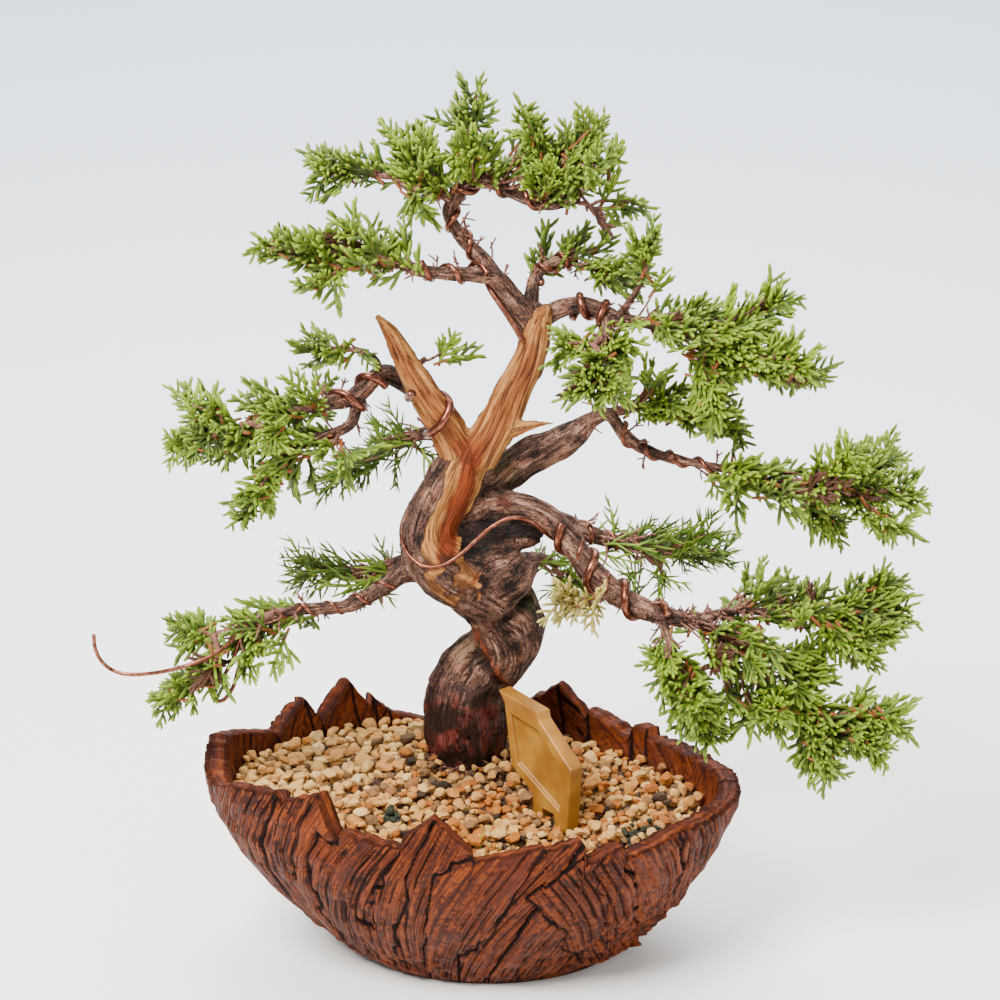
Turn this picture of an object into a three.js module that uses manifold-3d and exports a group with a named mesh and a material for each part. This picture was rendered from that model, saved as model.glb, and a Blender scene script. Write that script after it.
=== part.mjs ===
// A juniper bonsai, trained with wire, in a hand-torn ceramic pot that imitates bark.
// Millimetres, +Z up, +Y away from the front. The origin is on the pot's flat foot, under the
// middle of its rim.
// The wood is one solid; each bunch of scale-leaved shoots, each training wire, the soil,
// the pot, its two drainage screens and the blank plant label are solids of their own.

import * as THREE from "three";
import { mergeVertices } from "three/addons/utils/BufferGeometryUtils.js";
import Module from "manifold-3d";

const wasm = await Module();
wasm.setup();

// ---------------------------------------------------------------- driving dimensions

const GAP = 0.4; // running gap between solids that touch on the real tree

const POT = {
  sectors: 90,
  ovalness: 0.7, // plan width over plan length
  lean: 5, // the foot's middle lies this far right of the rim's
  floor: 9, // height of the inside floor
  // [half length, height]
  outer: [[48, 0], [55, 5], [67, 17], [80, 32], [91, 48], [98, 62], [100, 76], [98, 92]],
  inner: [[46, 9], [62, 20], [77, 36], [89, 60], [92, 76], [91, 92]],
  level: 48, // up to this height the rows of the wall run level
  ridge: 1.3, // how far a bark ridge stands out
  slant: 0.35, // degrees that the slabs' borders lean to the left for each millimetre down
  // Where the slab that laps over the front begins: [degrees, millimetres below the rim].
  // To the right of it the slabs lean the other way, until upright again at the right end.
  lap: [[297, 0], [281, 20], [290, 38], [307, 60]],
  upright: [345, 360],
  drainRadius: 7,
  drainOffset: 28, // the two holes lie at plus and minus this along the length
};

const LAP_SLAB = 293; // where the slab that laps over the front starts on the rim

// The torn slabs of the rim, anticlockwise from the right end: [where it starts in degrees,
// rim height at its start, rim height at its end, how far the slab stands out].
const SLABS = [
  [0, 66, 64, 0], [19, 63, 64, 1], [44, 67, 67, 0.2], [49, 62, 70, 1.2], [62, 66, 79, 0],
  [70, 79, 68, 0.8], [80, 66, 63, 0], [100, 62, 68, 1], [112, 70, 75, 0.2], [116, 70, 83, 1.2],
  [122, 83, 67, 0.2], [131, 70, 80, 1], [135, 79, 67, 0.4], [146, 70, 83, 1.3], [176, 83, 72, 0.4],
  [193, 72, 80, 0], [208, 80, 84, 1.2], [225, 81, 88, 0.2], [236, 87, 71, 1], [241, 75, 71, 0],
  [255, 76, 84, 1.4], [262, 84, 70, 0.4], [270, 67, 72, 0], [285, 70, 73, -0.4], [LAP_SLAB, 63, 69, 1.8],
  [303, 62, 68, 0.2], [318, 68, 68, 1.2], [340, 67, 66, 0.3],
];

const SOIL = {
  level: 58, // height at the middle of the pot
  slope: -0.08, // it falls towards the right
  mound: 6, // and is heaped up round the trunk
  moundRadius: 30,
  grain: 6.8, // grid of the granule relief
  relief: 1.5,
  block: [200, 152], // what the soil is cut out of: wider than the pot's inside
};

const SCREEN = { side: 24, thickness: 1, holes: 2, hole: 8, pitch: 10 };

const LABEL = {
  corner: [13, 10, 101], // upper left corner of its cap
  turn: 50, // degrees, from square-on towards the viewer's right
  thickness: 6,
  recess: 1.8, // depth of the panel sunk in each face
  outline: [
    [0, 0], [22.5, -1.8], [23.2, -4.8], [41, -18.3], [38, -55], [34.5, -55], [31.5, -39.5],
    [25, -39.5], [24, -55], [20.5, -54], [19.5, -35], [7.5, -28], [3.4, -4],
  ],
  panel: [[7, -7.5], [22.5, -9], [36.5, -21], [34.5, -37], [11, -26]],
};

// Every limb as [x, y, z, radius] along its centre line. A limb starts inside its parent.
const LIMBS = {
  trunk: {
    sides: 16, steps: 25, ripple: 0.06, groove: 0.075, twist: 2.2,
    points: [
      [-3, 32, 30, 13], [-3, 32, 60, 14.5], [-4, 31, 74, 17], [-3, 30, 90, 16], [1, 29, 99, 14.3],
      [9, 27, 107, 13.5], [12, 25, 116, 14.3], [9, 22, 127, 13.5], [0, 16, 138.5, 14.5],
      [-11, 12.5, 147, 13.6], [-17, 13.5, 157, 11.2], [-16, 15, 165, 10.6], [-11, 17, 174, 11],
      [-7, 18, 181, 10.6], [-4, 18, 187, 9.5], [-2, 18, 191, 6.5],
    ],
  },
  knuckle: {
    sides: 12, steps: 7, groove: 0.075, twist: 0.4,
    points: [
      [0, 17, 141, 11], [8, 18, 143.5, 14.8], [13, 18, 146, 13], [17, 19, 150, 9],
    ],
  },
  leftSnag: {
    sides: 7, depth: 0.72,
    points: [
      [-5, 18, 187, 8], [-11, 16, 201, 7], [-18, 14, 213, 6.2], [-25, 12, 227, 4.5],
      [-30, 10, 238, 3.2], [-35, 8, 245, 1.2],
    ],
  },
  rightSnag: {
    sides: 7, depth: 0.72,
    points: [
      [0, 18, 187, 8.5], [8, 18, 200, 7.8], [14, 17, 214, 7], [20, 16, 227, 6.2],
      [23, 16, 238, 5.2], [26, 15, 247, 1.6],
    ],
  },
  splinter: { sides: 5, steps: 3, points: [[11, 16, 198, 3.6], [20, 13, 202, 2.2], [29, 10, 204, 0.7]] },
  head: { sides: 7, steps: 3, points: [[20, 19, 222, 5.5], [21, 20, 236, 5], [20, 20, 246, 4]] },
  stub: {
    sides: 8, steps: 8, ripple: 0.05, groove: 0.1, twist: 0.7,
    points: [
      [-8, 22, 172, 8], [0, 29, 173, 7.5], [9, 30, 176, 7], [19, 28, 184, 7], [30, 26, 190, 6.5],
      [38, 24, 196, 4.8], [43, 22, 202, 3],
    ],
  },
  rightMid: {
    sides: 5, steps: 10,
    points: [
      [40, 23, 199, 3.2], [48, 20, 204, 2.6], [55, 14, 197, 2.4], [65, 8, 193, 2], [81, 2, 191, 1.6],
      [96, -2, 189, 1.5], [109, -4, 185, 1.1],
    ],
  },
  heavy: {
    sides: 7, steps: 16, ripple: 0.05,
    points: [
      [-6, 22, 163, 10], [4, 25, 166, 8], [14, 20, 168, 6], [26, 14, 166, 5], [34, 8, 160, 4.6],
      [43, 2, 149, 4.8], [53, -4, 142, 4.4], [66, -8, 137, 3.6], [81, -12, 135, 2.6], [94, -14, 128, 2], [104, -16, 119, 1.4],
    ],
  },
  crownLeft: {
    sides: 6, steps: 10,
    points: [
      [19, 19, 240, 5], [13, 18, 249, 4.2], [6, 16, 257, 3.2], [-6, 12, 259, 2.6], [-18, 8, 261, 2.4],
      [-30, 4, 266, 2], [-37, 1, 267, 1.4],
    ],
  },
  apex: {
    sides: 6, steps: 14,
    points: [
      [10, 18, 253, 3], [4, 20, 261, 2.6], [-4, 22, 269, 2.6], [-9, 22, 279, 2.6], [-4, 22, 287, 2.5],
      [4, 22, 290, 2.5], [13, 22, 286, 2.3], [25, 20, 282, 1.9], [37, 18, 284, 1.2],
    ],
  },
  crownBack: {
    sides: 5, steps: 5,
    points: [
      [20, 21, 243, 3], [22, 26, 254, 2.2], [29, 28, 259, 1.9], [37, 30, 258, 1.3],
    ],
  },
  upperRight: {
    sides: 6, steps: 8,
    points: [
      [21, 20, 238, 4], [31, 20, 244, 3.5], [41, 16, 246, 3.2], [50, 12, 243, 2.8], [61, 8, 242, 2],
      [71, 4, 240, 1.4],
    ],
  },
  upperLeft: {
    sides: 6, steps: 10,
    points: [
      [-7, 20, 191, 4.5], [-13, 28, 199, 4], [-20, 30, 208, 3.8], [-27, 28, 214, 3.6],
      [-34, 24, 218, 3.5], [-44, 18, 211, 3.3], [-56, 12, 210, 2.5], [-68, 8, 208, 1.6],
    ],
  },
  upperLeftFork: {
    sides: 5, steps: 5,
    points: [
      [-42, 19, 212, 2.5], [-45, 14, 202, 2], [-56, 8, 199, 1.8], [-66, 5, 195, 1.3],
    ],
  },
  midLeft: {
    sides: 5, steps: 4,
    points: [
      [-6, 20, 189, 4], [-13, 34, 192, 3.2], [-21, 38, 190, 2.4], [-30, 42, 184, 1.5],
    ],
  },
  lowLeft: {
    sides: 6, steps: 11,
    points: [
      [-18, 15, 147, 6], [-28, 10, 145, 3.8], [-33, 6, 142, 3.2], [-47, 0, 137, 2.6],
      [-64, -4, 137, 2.2], [-79, -10, 135, 1.8], [-86, -13, 132, 1.3],
    ],
  },
  backLeft: {
    sides: 5, steps: 4,
    points: [
      [-16, 16, 148, 5], [-24, 30, 143, 3.6], [-33, 39, 137, 2.8], [-41, 44, 133, 1.6],
    ],
  },
  backLow: {
    sides: 5, steps: 3,
    points: [
      [14, 24, 143, 5], [20, 36, 141, 3], [26, 44, 138, 2.2], [30, 48, 135, 1.4],
    ],
  },
  rightBack: {
    sides: 5, steps: 6,
    points: [
      [24, 15, 166, 4.5], [33, 25, 160, 3.6], [44, 30, 153, 3.2], [55, 34, 148, 2.6],
      [64, 39, 144, 1.8],
    ],
  },
  crownTwigLeft: {
    sides: 4, steps: 2,
    points: [
      [-7, 22, 283, 1.8], [-14, 20, 287, 1.5], [-19, 18, 290, 1.1],
    ],
  },
  crownTwigMiddle: {
    sides: 4, steps: 2,
    points: [
      [0, 22, 289, 1.8], [-1, 22, 295, 1.4], [-2, 23, 299, 1.1],
    ],
  },
  crownTwigRight: {
    sides: 4, steps: 2,
    points: [
      [22, 21, 283, 1.8], [26, 20, 289, 1.4], [28, 20, 294, 1.1],
    ],
  },
  frontTwig: { sides: 4, steps: 2, points: [[46, 14, 244, 2.2], [47, 6, 241, 1.8], [46, -2, 239, 1.2]] },
  innerRightTwig: {
    sides: 4, steps: 2,
    points: [
      [47, 20, 204, 2.2], [57, 20, 206, 1.6], [64, 19, 207, 1.2],
    ],
  },
  lowRightTwig: {
    sides: 4, steps: 4,
    points: [
      [78, -11, 135, 2.2], [94, -10, 139, 1.6], [112, -8, 137, 1.1],
    ],
  },
  innerLowTwig: {
    sides: 4, steps: 2,
    points: [
      [67, -8, 137, 2.2], [70, -15, 130, 1.7], [72, -20, 124, 1.1],
    ],
  },
  topTwig: { sides: 4, steps: 2, points: [[-34, 23, 218, 1.8], [-36, 20, 225, 1.3], [-40, 18, 228, 1]] },
  forkTwig: { sides: 4, steps: 2, points: [[-25, 28, 213, 1.8], [-22, 28, 219, 1.3], [-18, 26, 223, 1]] },
  paleTwig: { sides: 4, steps: 2, points: [[54, -3, 142, 2.2], [50, -7, 144, 1.4], [47, -9, 144, 1]] },
  uprightTwig: { sides: 4, steps: 2, points: [[51, 11, 243, 1.8], [56, 9, 251, 1.2], [59, 7, 257, 1]] },
};

// Each bunch of shoots: the limb whose end carries it, its middle and its half sizes.
const BUNCHES = {
  crown_left: { limb: "crownTwigLeft", middle: [-34, 18, 294], half: [25, 20, 21] },
  crown_middle: { limb: "crownTwigMiddle", middle: [-1, 24, 309], half: [22, 20, 16] },
  crown_right: { limb: "crownTwigRight", middle: [32, 18, 300], half: [23, 22, 22] },
  crown_tip: { limb: "apex", middle: [48, 18, 284], half: [11, 13, 13] },
  crown_back: { limb: "crownBack", middle: [46, 32, 255], half: [16, 15, 13] },
  left_crown: { limb: "crownLeft", middle: [-56, -4, 271], half: [23, 18, 18] },
  upper_right: { limb: "upperRight", middle: [97, 2, 232], half: [31, 26, 27] },
  upright_sprig: { limb: "uprightTwig", middle: [60, 6, 266], half: [9, 5, 11] },
  front_sprig: { limb: "frontTwig", middle: [43, -12, 233], half: [20, 14, 15] },
  inner_right: { limb: "innerRightTwig", middle: [79, 15, 205], half: [19, 14, 13] },
  right_middle: { limb: "rightMid", middle: [135, -6, 184], half: [28, 24, 28] },
  right_back: { limb: "rightBack", middle: [79, 48, 140], half: [25, 17, 19] },
  low_right_top: { limb: "lowRightTwig", middle: [137, -6, 137], half: [23, 22, 18] },
  low_right: { limb: "heavy", middle: [126, -24, 103], half: [32, 26, 23] },
  low_right_inner: { limb: "innerLowTwig", middle: [77, -24, 112], half: [23, 18, 19] },
  upper_left: { limb: "upperLeft", middle: [-89, 0, 204], half: [24, 22, 22] },
  upper_left_low: { limb: "upperLeftFork", middle: [-76, 2, 182], half: [16, 14, 15] },
  top_sprig: { limb: "topTwig", middle: [-48, 16, 230], half: [14, 8, 9] },
  fork_sprig: { limb: "forkTwig", middle: [-12, 24, 226], half: [8, 6, 6] },
  middle_left: { limb: "midLeft", middle: [-43, 48, 176], half: [22, 16, 19] },
  low_left: { limb: "lowLeft", middle: [-96, -16, 119], half: [35, 24, 19] },
  back_left: { limb: "backLeft", middle: [-54, 52, 130], half: [22, 15, 16] },
  back_low: { limb: "backLow", middle: [38, 56, 125], half: [14, 12, 14] },
  pale_sprig: { limb: "paleTwig", middle: [38, -10, 144], half: [10, 8, 9] },
};

const SHOOT = {
  length: 12, // a cord of scale leaves
  radius: 0.8, // kept clear round a shoot's centre line
  twig: 1.3, // radius of a green twig where it leaves the stem
  twigTip: 0.5, // and at its end
  bare: 0.22, // share of a twig next to its root that has no shoots
  spacing: 1.9, // between the shoots of a twig
  angle: 42, // degrees between a shoot and its twig
  fill: 0.85, // share of a bunch's half sizes that its twigs reach
  lag: 0.5, // how much sooner a twig leaves the stem than its end lies, as a share of the stem
  forks: [0.1, 0.6], // where on the stem the first and the last twig leave it
  areaPerTwig: 150, // mean product of a bunch's half sizes, in square millimetres, per twig
};

// Each wire: its radius, the points of its free ends in order, and what it winds round:
// [limb, from, to (shares of the limb's length), turns, phase in turns].
const WIRES = {
  wire_heavy_limb: { radius: 1.6, winding: ["heavy", 0.32, 0.71, 3.1, 0.55] },
  wire_heavy_limb_thin: {
    radius: 0.8,
    before: [
      [-24, 27, 170], [-28, 20, 166], [-30, 12, 160], [-28, 3, 155], [-22, -2, 152], [-14, -3, 152],
      [-7, -1, 155], [-1, 3, 160], [5, 4, 166], [12, 6, 170], [19, 6, 172],
    ],
    winding: ["heavy", 0.33, 0.6, 2.2, 1.035],
  },
  wire_left_snag: { radius: 1.6, winding: ["leftSnag", 0.18, 0.52, 1.35, 0.6] },
  wire_upper_left: { radius: 1.5, winding: ["upperLeft", 0.52, 0.84, 1.9, 0.1] },
  wire_low_left: {
    radius: 0.75,
    winding: ["lowLeft", 0.22, 0.9, 5, 0.2],
    after: [
      [-88, -19, 129], [-97, -24, 126], [-108, -24, 122], [-118, -21, 119], [-128, -19, 118],
      [-134, -18, 121], [-137, -18, 127], [-137, -18, 133],
    ],
  },
  wire_low_left_loop: {
    radius: 0.75,
    before: [
      [-84.5, -13.5, 130.8], [-87, -13, 122], [-93, -14, 112], [-97, -15, 106], [-95, -17, 103],
      [-91, -16, 105], [-87, -14, 111], [-86, -13, 117],
    ],
  },
  wire_apex: { radius: 1.1, before: [[15, 11, 235], [12, 11, 243]], winding: ["apex", 0.14, 0.86, 5, 0.5] },
  wire_crown_left: { radius: 1.1, winding: ["crownLeft", 0.36, 0.72, 2.2, 0.1] },
  wire_crown_back: { radius: 1.2, winding: ["crownBack", 0.35, 0.92, 2.2, 0.4] },
  wire_upper_right: { radius: 1.5, winding: ["upperRight", 0.26, 0.62, 2.2, 0.2] },
  wire_right_middle: { radius: 0.9, winding: ["rightMid", 0.2, 0.82, 4.6, 0.5] },
  wire_right_back: { radius: 0.9, winding: ["rightBack", 0.4, 0.9, 2.4, 0.3] },
};
const WIRE_SIDES = 4;
const STEPS_PER_TURN = 7;

const COLOURS = {
  bark: { color: 0x6f4a3c, roughness: 0.85, metalness: 0 },
  foliage: { color: 0x6f9a35, roughness: 0.6, metalness: 0 },
  ceramic: { color: 0x7a3c26, roughness: 0.45, metalness: 0 },
  granules: { color: 0xb8946a, roughness: 0.95, metalness: 0 },
  wire: { color: 0x7d5348, roughness: 0.35, metalness: 0.9 },
  label: { color: 0xdcae5e, roughness: 0.4, metalness: 0 },
  screen: { color: 0x2c2c2c, roughness: 0.7, metalness: 0 },
};

// ---------------------------------------------------------------- helpers

// A seeded random number generator, so that every build is the same.
function seeded(seed) {
  let state = seed >>> 0;
  return () => {
    state = (state + 0x6d2b79f5) >>> 0;
    let t = Math.imul(state ^ (state >>> 15), 1 | state);
    t = (t + Math.imul(t ^ (t >>> 7), 61 | t)) ^ t;
    return ((t ^ (t >>> 14)) >>> 0) / 2 ** 32;
  };
}

// Reads y off a line of [y, x] points at x, and goes on in a straight line past its ends.
function along(line, x) {
  let i = line.findIndex(([, at]) => at > x);
  if (i < 0) i = line.length - 1;
  i = Math.max(i, 1);
  const [[y0, x0], [y1, x1]] = [line[i - 1], line[i]];
  return y0 + ((y1 - y0) * (x - x0)) / (x1 - x0);
}

// A closed three.js geometry as a manifold-3d solid.
function solid(geometry) {
  const bare = geometry.index ? geometry.toNonIndexed() : geometry.clone();
  bare.deleteAttribute("normal");
  bare.deleteAttribute("uv");
  const merged = mergeVertices(bare, 1e-4);
  const corners = merged.index.array;
  const kept = [];
  for (let i = 0; i < corners.length; i += 3) {
    const [a, b, c] = corners.slice(i, i + 3);
    if (a !== b && b !== c && c !== a) kept.push(a, b, c);
  }
  return new wasm.Manifold(
    new wasm.Mesh({
      numProp: 3,
      vertProperties: merged.getAttribute("position").array,
      triVerts: new Uint32Array(kept),
    }),
  );
}

const union = (solids) => wasm.Manifold.union(solids);

// The largest body of a solid: what a cut leaves loose is dropped.
function largest(body) {
  return body.decompose().sort((a, b) => b.volume() - a.volume())[0];
}

function meshOf(name, body, look) {
  const { vertProperties, triVerts, numProp, numVert } = body.getMesh();
  const places = new Float32Array(numVert * 3);
  for (let i = 0; i < numVert; i++) {
    places.set(vertProperties.subarray(i * numProp, i * numProp + 3), i * 3);
  }
  const geometry = new THREE.BufferGeometry();
  geometry.setAttribute("position", new THREE.BufferAttribute(places, 3));
  geometry.setIndex(new THREE.BufferAttribute(triVerts, 1));
  geometry.computeVertexNormals();
  const mesh = new THREE.Mesh(geometry, new THREE.MeshStandardMaterial(COLOURS[look]));
  mesh.name = name;
  return mesh;
}

// ---------------------------------------------------------------- keeping clear

// What shoots and wires have to stay clear of, as lines with a radius.
const obstacles = [];

function addObstacle(from, to, radius, owner) {
  obstacles.push({ line: new THREE.Line3(from.clone(), to.clone()), radius, owner });
}

// How far a point has to move for a thing of that radius to miss whatever is there.
function pushNeeded(point, radius) {
  const moved = point.clone();
  const near = new THREE.Vector3();
  for (const obstacle of [...obstacles, ...obstacles]) {
    obstacle.line.closestPointToPoint(moved, true, near);
    const away = moved.clone().sub(near);
    const needed = obstacle.radius + radius + GAP;
    if (away.length() < needed) moved.copy(near).add(away.setLength(needed));
  }
  return moved.sub(point);
}

// Whether a line of that radius misses everything, and from ownFrom on its owner's other parts.
function isClear(from, to, radius, owner, ownFrom) {
  const near = new THREE.Vector3();
  const samples = Math.max(4, Math.ceil(from.distanceTo(to) / 2));
  for (let k = 0; k <= samples; k++) {
    const point = from.clone().lerp(to, k / samples);
    for (const obstacle of obstacles) {
      const own = obstacle.owner === owner;
      if (own && k / samples < ownFrom) continue;
      const gap = own ? 0 : GAP;
      obstacle.line.closestPointToPoint(point, true, near);
      if (near.distanceTo(point) < obstacle.radius + radius + gap) return false;
    }
  }
  return true;
}

// ---------------------------------------------------------------- limbs of the tree

const FRAMES = 120; // directions kept along a limb's route
const MUSCLES = { round: 3, along: 7 }; // how many lie round a limb, and how far they turn along it
const SETTLING = 6; // times that a wire is pushed clear of what it runs past

class Limb {
  // Every other side is sunk by groove, and the sides turn by twist, in radians, along the limb.
  constructor({
    points, sides, steps = 2 * (points.length - 1), depth = 1, ripple = 0, bare = 0, groove = 0, twist = 0,
  }) {
    const places = points.map(([x, y, z]) => new THREE.Vector3(x, y, z));
    this.route = new THREE.CatmullRomCurve3(places, false, "centripetal");
    this.frames = this.route.computeFrenetFrames(FRAMES, false);
    this.radii = points.map((point) => point[3]);
    Object.assign(this, { sides, steps, depth, ripple, bare, groove, twist });
  }

  // The share of its length that a step is at: the first step spans the whole bare stretch.
  share(step) {
    if (this.bare === 0 || step === 0) return step / this.steps;
    return this.bare + ((1 - this.bare) * (step - 1)) / (this.steps - 1);
  }

  radius(share) {
    const last = this.radii.length - 1;
    const at = this.route.getUtoTmapping(share) * last;
    const i = Math.min(Math.floor(at), last - 1);
    return THREE.MathUtils.lerp(this.radii[i], this.radii[i + 1], at - i);
  }

  // A point beside the centre line, at a turn round it from the route's own normal.
  beside(share, turn, reach) {
    const frame = Math.round(share * FRAMES);
    return this.route
      .getPointAt(share)
      .addScaledVector(this.frames.normals[frame], Math.cos(turn) * reach)
      .addScaledVector(this.frames.binormals[frame], -Math.sin(turn) * reach);
  }

  // A cylinder bent along the route, tapered, with shallow muscles running along it.
  geometry(grow = 0) {
    const geometry = new THREE.CylinderGeometry(1, 1, 1, this.sides, this.steps);
    const position = geometry.getAttribute("position");
    for (let k = 0; k < position.count; k++) {
      const [x, z] = [position.getX(k), position.getZ(k)];
      const step = Math.round((position.getY(k) + 0.5) * this.steps);
      const share = this.share(step);
      const turn = Math.atan2(z, x);
      const muscle = 1 + this.ripple * Math.sin(MUSCLES.round * turn + MUSCLES.along * share);
      const sunk = this.groove * (0.5 - 0.5 * Math.cos((this.sides / 2) * turn));
      const reach = Math.hypot(x, z) * (this.radius(share) * (muscle - sunk) + grow);
      const place = this.beside(share, turn + this.twist * share, reach);
      const middle = this.route.getPointAt(share).y;
      place.y = middle + (place.y - middle) * this.depth;
      if (step === 0) place.addScaledVector(this.frames.tangents[0], -grow);
      if (step === this.steps) place.addScaledVector(this.frames.tangents[FRAMES], grow);
      position.setXYZ(k, ...place);
    }
    return geometry;
  }

  solid(grow = 0) {
    return solid(this.geometry(grow));
  }

  addObstacles(owner) {
    for (let k = 0; k < this.steps; k++) {
      const [from, to] = [k, k + 1].map((step) => this.route.getPointAt(this.share(step)));
      const radius = Math.max(this.radius(this.share(k)), this.radius(this.share(k + 1)));
      if (k === this.steps - 1) to.addScaledVector(to.clone().sub(from).normalize(), -radius);
      addObstacle(from, to, radius * (1 + this.ripple), owner);
    }
  }
}

const limbs = Object.fromEntries(Object.entries(LIMBS).map(([name, limb]) => [name, new Limb(limb)]));

for (const [name, limb] of Object.entries(limbs)) limb.addObstacles(name);

// ---------------------------------------------------------------- training wires

// The wire's centre line round a stretch of a limb.
function winding([limbName, from, to, turns, phase], wireRadius) {
  const limb = limbs[limbName];
  const count = Math.round(turns * STEPS_PER_TURN);
  return Array.from({ length: count + 1 }, (_, k) => {
    const share = from + ((to - from) * k) / count;
    const reach = limb.radius(share) * (1 + limb.ripple) + wireRadius + GAP;
    return limb.beside(share, -2 * Math.PI * (phase + (turns * k) / count), reach);
  });
}

function wireSolid(name, { radius, before = [], winding: wound, after = [] }) {
  const [lead, tail] = [before, after].map((end) => end.map((point) => new THREE.Vector3(...point)));
  const points = [...lead, ...(wound ? winding(wound, radius) : []), ...tail];
  for (let pass = 0; pass < SETTLING; pass++) {
    points.slice(1).forEach((point, k) => {
      const push = pushNeeded(points[k].clone().lerp(point, 0.5), radius);
      points[k].add(push);
      point.add(push);
    });
  }
  const corners = Array.from({ length: WIRE_SIDES }, (_, k) =>
    new THREE.Vector2(radius, 0).rotateAround(new THREE.Vector2(), (2 * Math.PI * k) / WIRE_SIDES),
  );
  points.slice(1).forEach((point, k) => addObstacle(points[k], point, radius, name));
  const extrudePath = new THREE.CatmullRomCurve3(points, false, "centripetal");
  const steps = points.length - 1;
  return solid(new THREE.ExtrudeGeometry(new THREE.Shape(corners), { extrudePath, steps }));
}

// ---------------------------------------------------------------- bunches of shoots

const UP = new THREE.Vector3(0, 0, 1);
const GOLDEN_ANGLE = Math.PI * (3 - Math.sqrt(5));

// A three-sided twig with its shoots: one corner of each ring is drawn out into a pointed
// shoot, the next corner at the next ring, so that the shoots climb the twig in a spiral.
// A shoot that would run into something is left off. Next to its root the twig is bare.
function leafyTwig(points, owner, random) {
  const places = points.map(([x, y, z]) => new THREE.Vector3(x, y, z));
  const length = places.slice(1).reduce((sum, place, k) => sum + place.distanceTo(places[k]), 0);
  const steps = Math.max(4, Math.round((length * (1 - SHOOT.bare)) / SHOOT.spacing) + 1);
  const twig = new Limb({ points, sides: 3, steps, bare: SHOOT.bare });
  const geometry = twig.geometry();
  const position = geometry.getAttribute("position");
  const columns = 4; // the seam's corner comes twice in a ring
  for (let ring = 1; ring < steps - 1; ring++) {
    const share = twig.share(steps - ring);
    const column = ring % 3;
    const corner = new THREE.Vector3().fromBufferAttribute(position, ring * columns + column);
    const outward = corner.clone().sub(twig.route.getPointAt(share));
    const angle = THREE.MathUtils.degToRad(SHOOT.angle + 16 * (random() - 0.5));
    const aim = twig.route.getTangentAt(share).setLength(Math.cos(angle));
    aim.add(outward.setLength(Math.sin(angle)));
    const reach = SHOOT.length * (0.8 + 0.4 * random()) * (1.15 - 0.35 * share);
    const tip = corner.clone().addScaledVector(aim, reach);
    if (!isClear(corner, tip, SHOOT.radius, owner, 0.25)) continue;
    addObstacle(corner, tip, SHOOT.radius, owner);
    position.setXYZ(ring * columns + column, ...tip);
    if (column === 0) position.setXYZ(ring * columns + 3, ...tip);
  }
  return solid(geometry);
}

// A bunch: a leafy stem from the limb's end through the middle, and twigs to points spread
// evenly over the bunch's outline by the golden angle.
function bunchSolid(name, { limb: limbName, middle, half }, seed) {
  const random = seeded(seed);
  const limb = limbs[limbName];
  const tangent = limb.route.getTangentAt(1);
  const root = limb.route.getPointAt(1).addScaledVector(tangent, 1.5 * GAP);
  const neck = root.clone().addScaledVector(tangent, 3);
  const centre = new THREE.Vector3(...middle);
  const size = new THREE.Vector3(...half);
  const heading = centre.clone().sub(root).normalize();
  const far = centre.clone().add(heading.clone().multiply(size).multiplyScalar(SHOOT.fill));
  const radius = Math.min(SHOOT.twig, limb.radius(1));
  const stem = [[...root, radius], [...neck, radius], [...centre, radius], [...far, SHOOT.twigTip]];
  const stemRoute = new Limb({ points: stem, sides: 3 });
  stemRoute.addObstacles(name);
  const meanArea = (half[0] * half[1] + half[1] * half[2] + half[2] * half[0]) / 3;
  const count = Math.max(1, Math.round(meanArea / SHOOT.areaPerTwig));
  const twigs = [stem];
  for (let k = 0; k < count; k++) {
    const height = 1 - (2 * (k + 0.5)) / count;
    const ring = Math.sqrt(1 - height * height);
    const turn = k * GOLDEN_ANGLE + seed;
    const spot = new THREE.Vector3(ring * Math.cos(turn), ring * Math.sin(turn), height);
    const end = centre.clone().add(spot.multiply(size).multiplyScalar(SHOOT.fill));
    const ahead = end.clone().sub(root).dot(heading) / root.distanceTo(far);
    const start = stemRoute.route.getPointAt(THREE.MathUtils.clamp(ahead - SHOOT.lag, ...SHOOT.forks));
    if (!isClear(start, end, SHOOT.twig, name, 0.35)) continue;
    addObstacle(start.clone().lerp(end, 0.1), end, SHOOT.radius, name);
    twigs.push([[...start, SHOOT.twig], [...end, SHOOT.twigTip]]);
  }
  return largest(union(twigs.map((points) => leafyTwig(points, name, random))));
}

// ---------------------------------------------------------------- pot, soil, screens, label

// A lathe whose vertex of each profile point and sector is put where place() says.
function lathe(count, sectors, place) {
  const profile = Array.from({ length: count }, (_, j) => new THREE.Vector2(j, j));
  const geometry = new THREE.LatheGeometry(profile, sectors);
  const position = geometry.getAttribute("position");
  for (let k = 0; k < position.count; k++) {
    const sector = Math.floor(k / count) % sectors;
    position.setXYZ(k, ...place(k % count, (2 * Math.PI * sector) / sectors));
  }
  return solid(geometry);
}

const oval = (halfLength, angle, z) => [
  halfLength * Math.cos(angle) + POT.lean * Math.max(0, 1 - z / 60),
  POT.ovalness * halfLength * Math.sin(angle),
  z,
];

// The slab at an angle and a depth below the rim, and the rim's height where it starts.
function slabAt(angle, drop = 0) {
  const turn = THREE.MathUtils.radToDeg(angle);
  const lapped = turn > along(POT.lap, drop);
  const lean = lapped ? 2 * THREE.MathUtils.smoothstep(turn, ...POT.upright) - 1 : 1;
  const leaned = turn + lean * POT.slant * drop;
  const degrees = (lapped ? Math.max(leaned, LAP_SLAB) : leaned) % 360;
  const i = SLABS.findLastIndex(([start]) => start <= degrees + 1e-6);
  const end = i + 1 < SLABS.length ? SLABS[i + 1][0] : 360;
  const [start, from, to, proud] = SLABS[i];
  return { height: THREE.MathUtils.lerp(from, to, (degrees - start) / (end - start)), proud };
}

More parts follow.
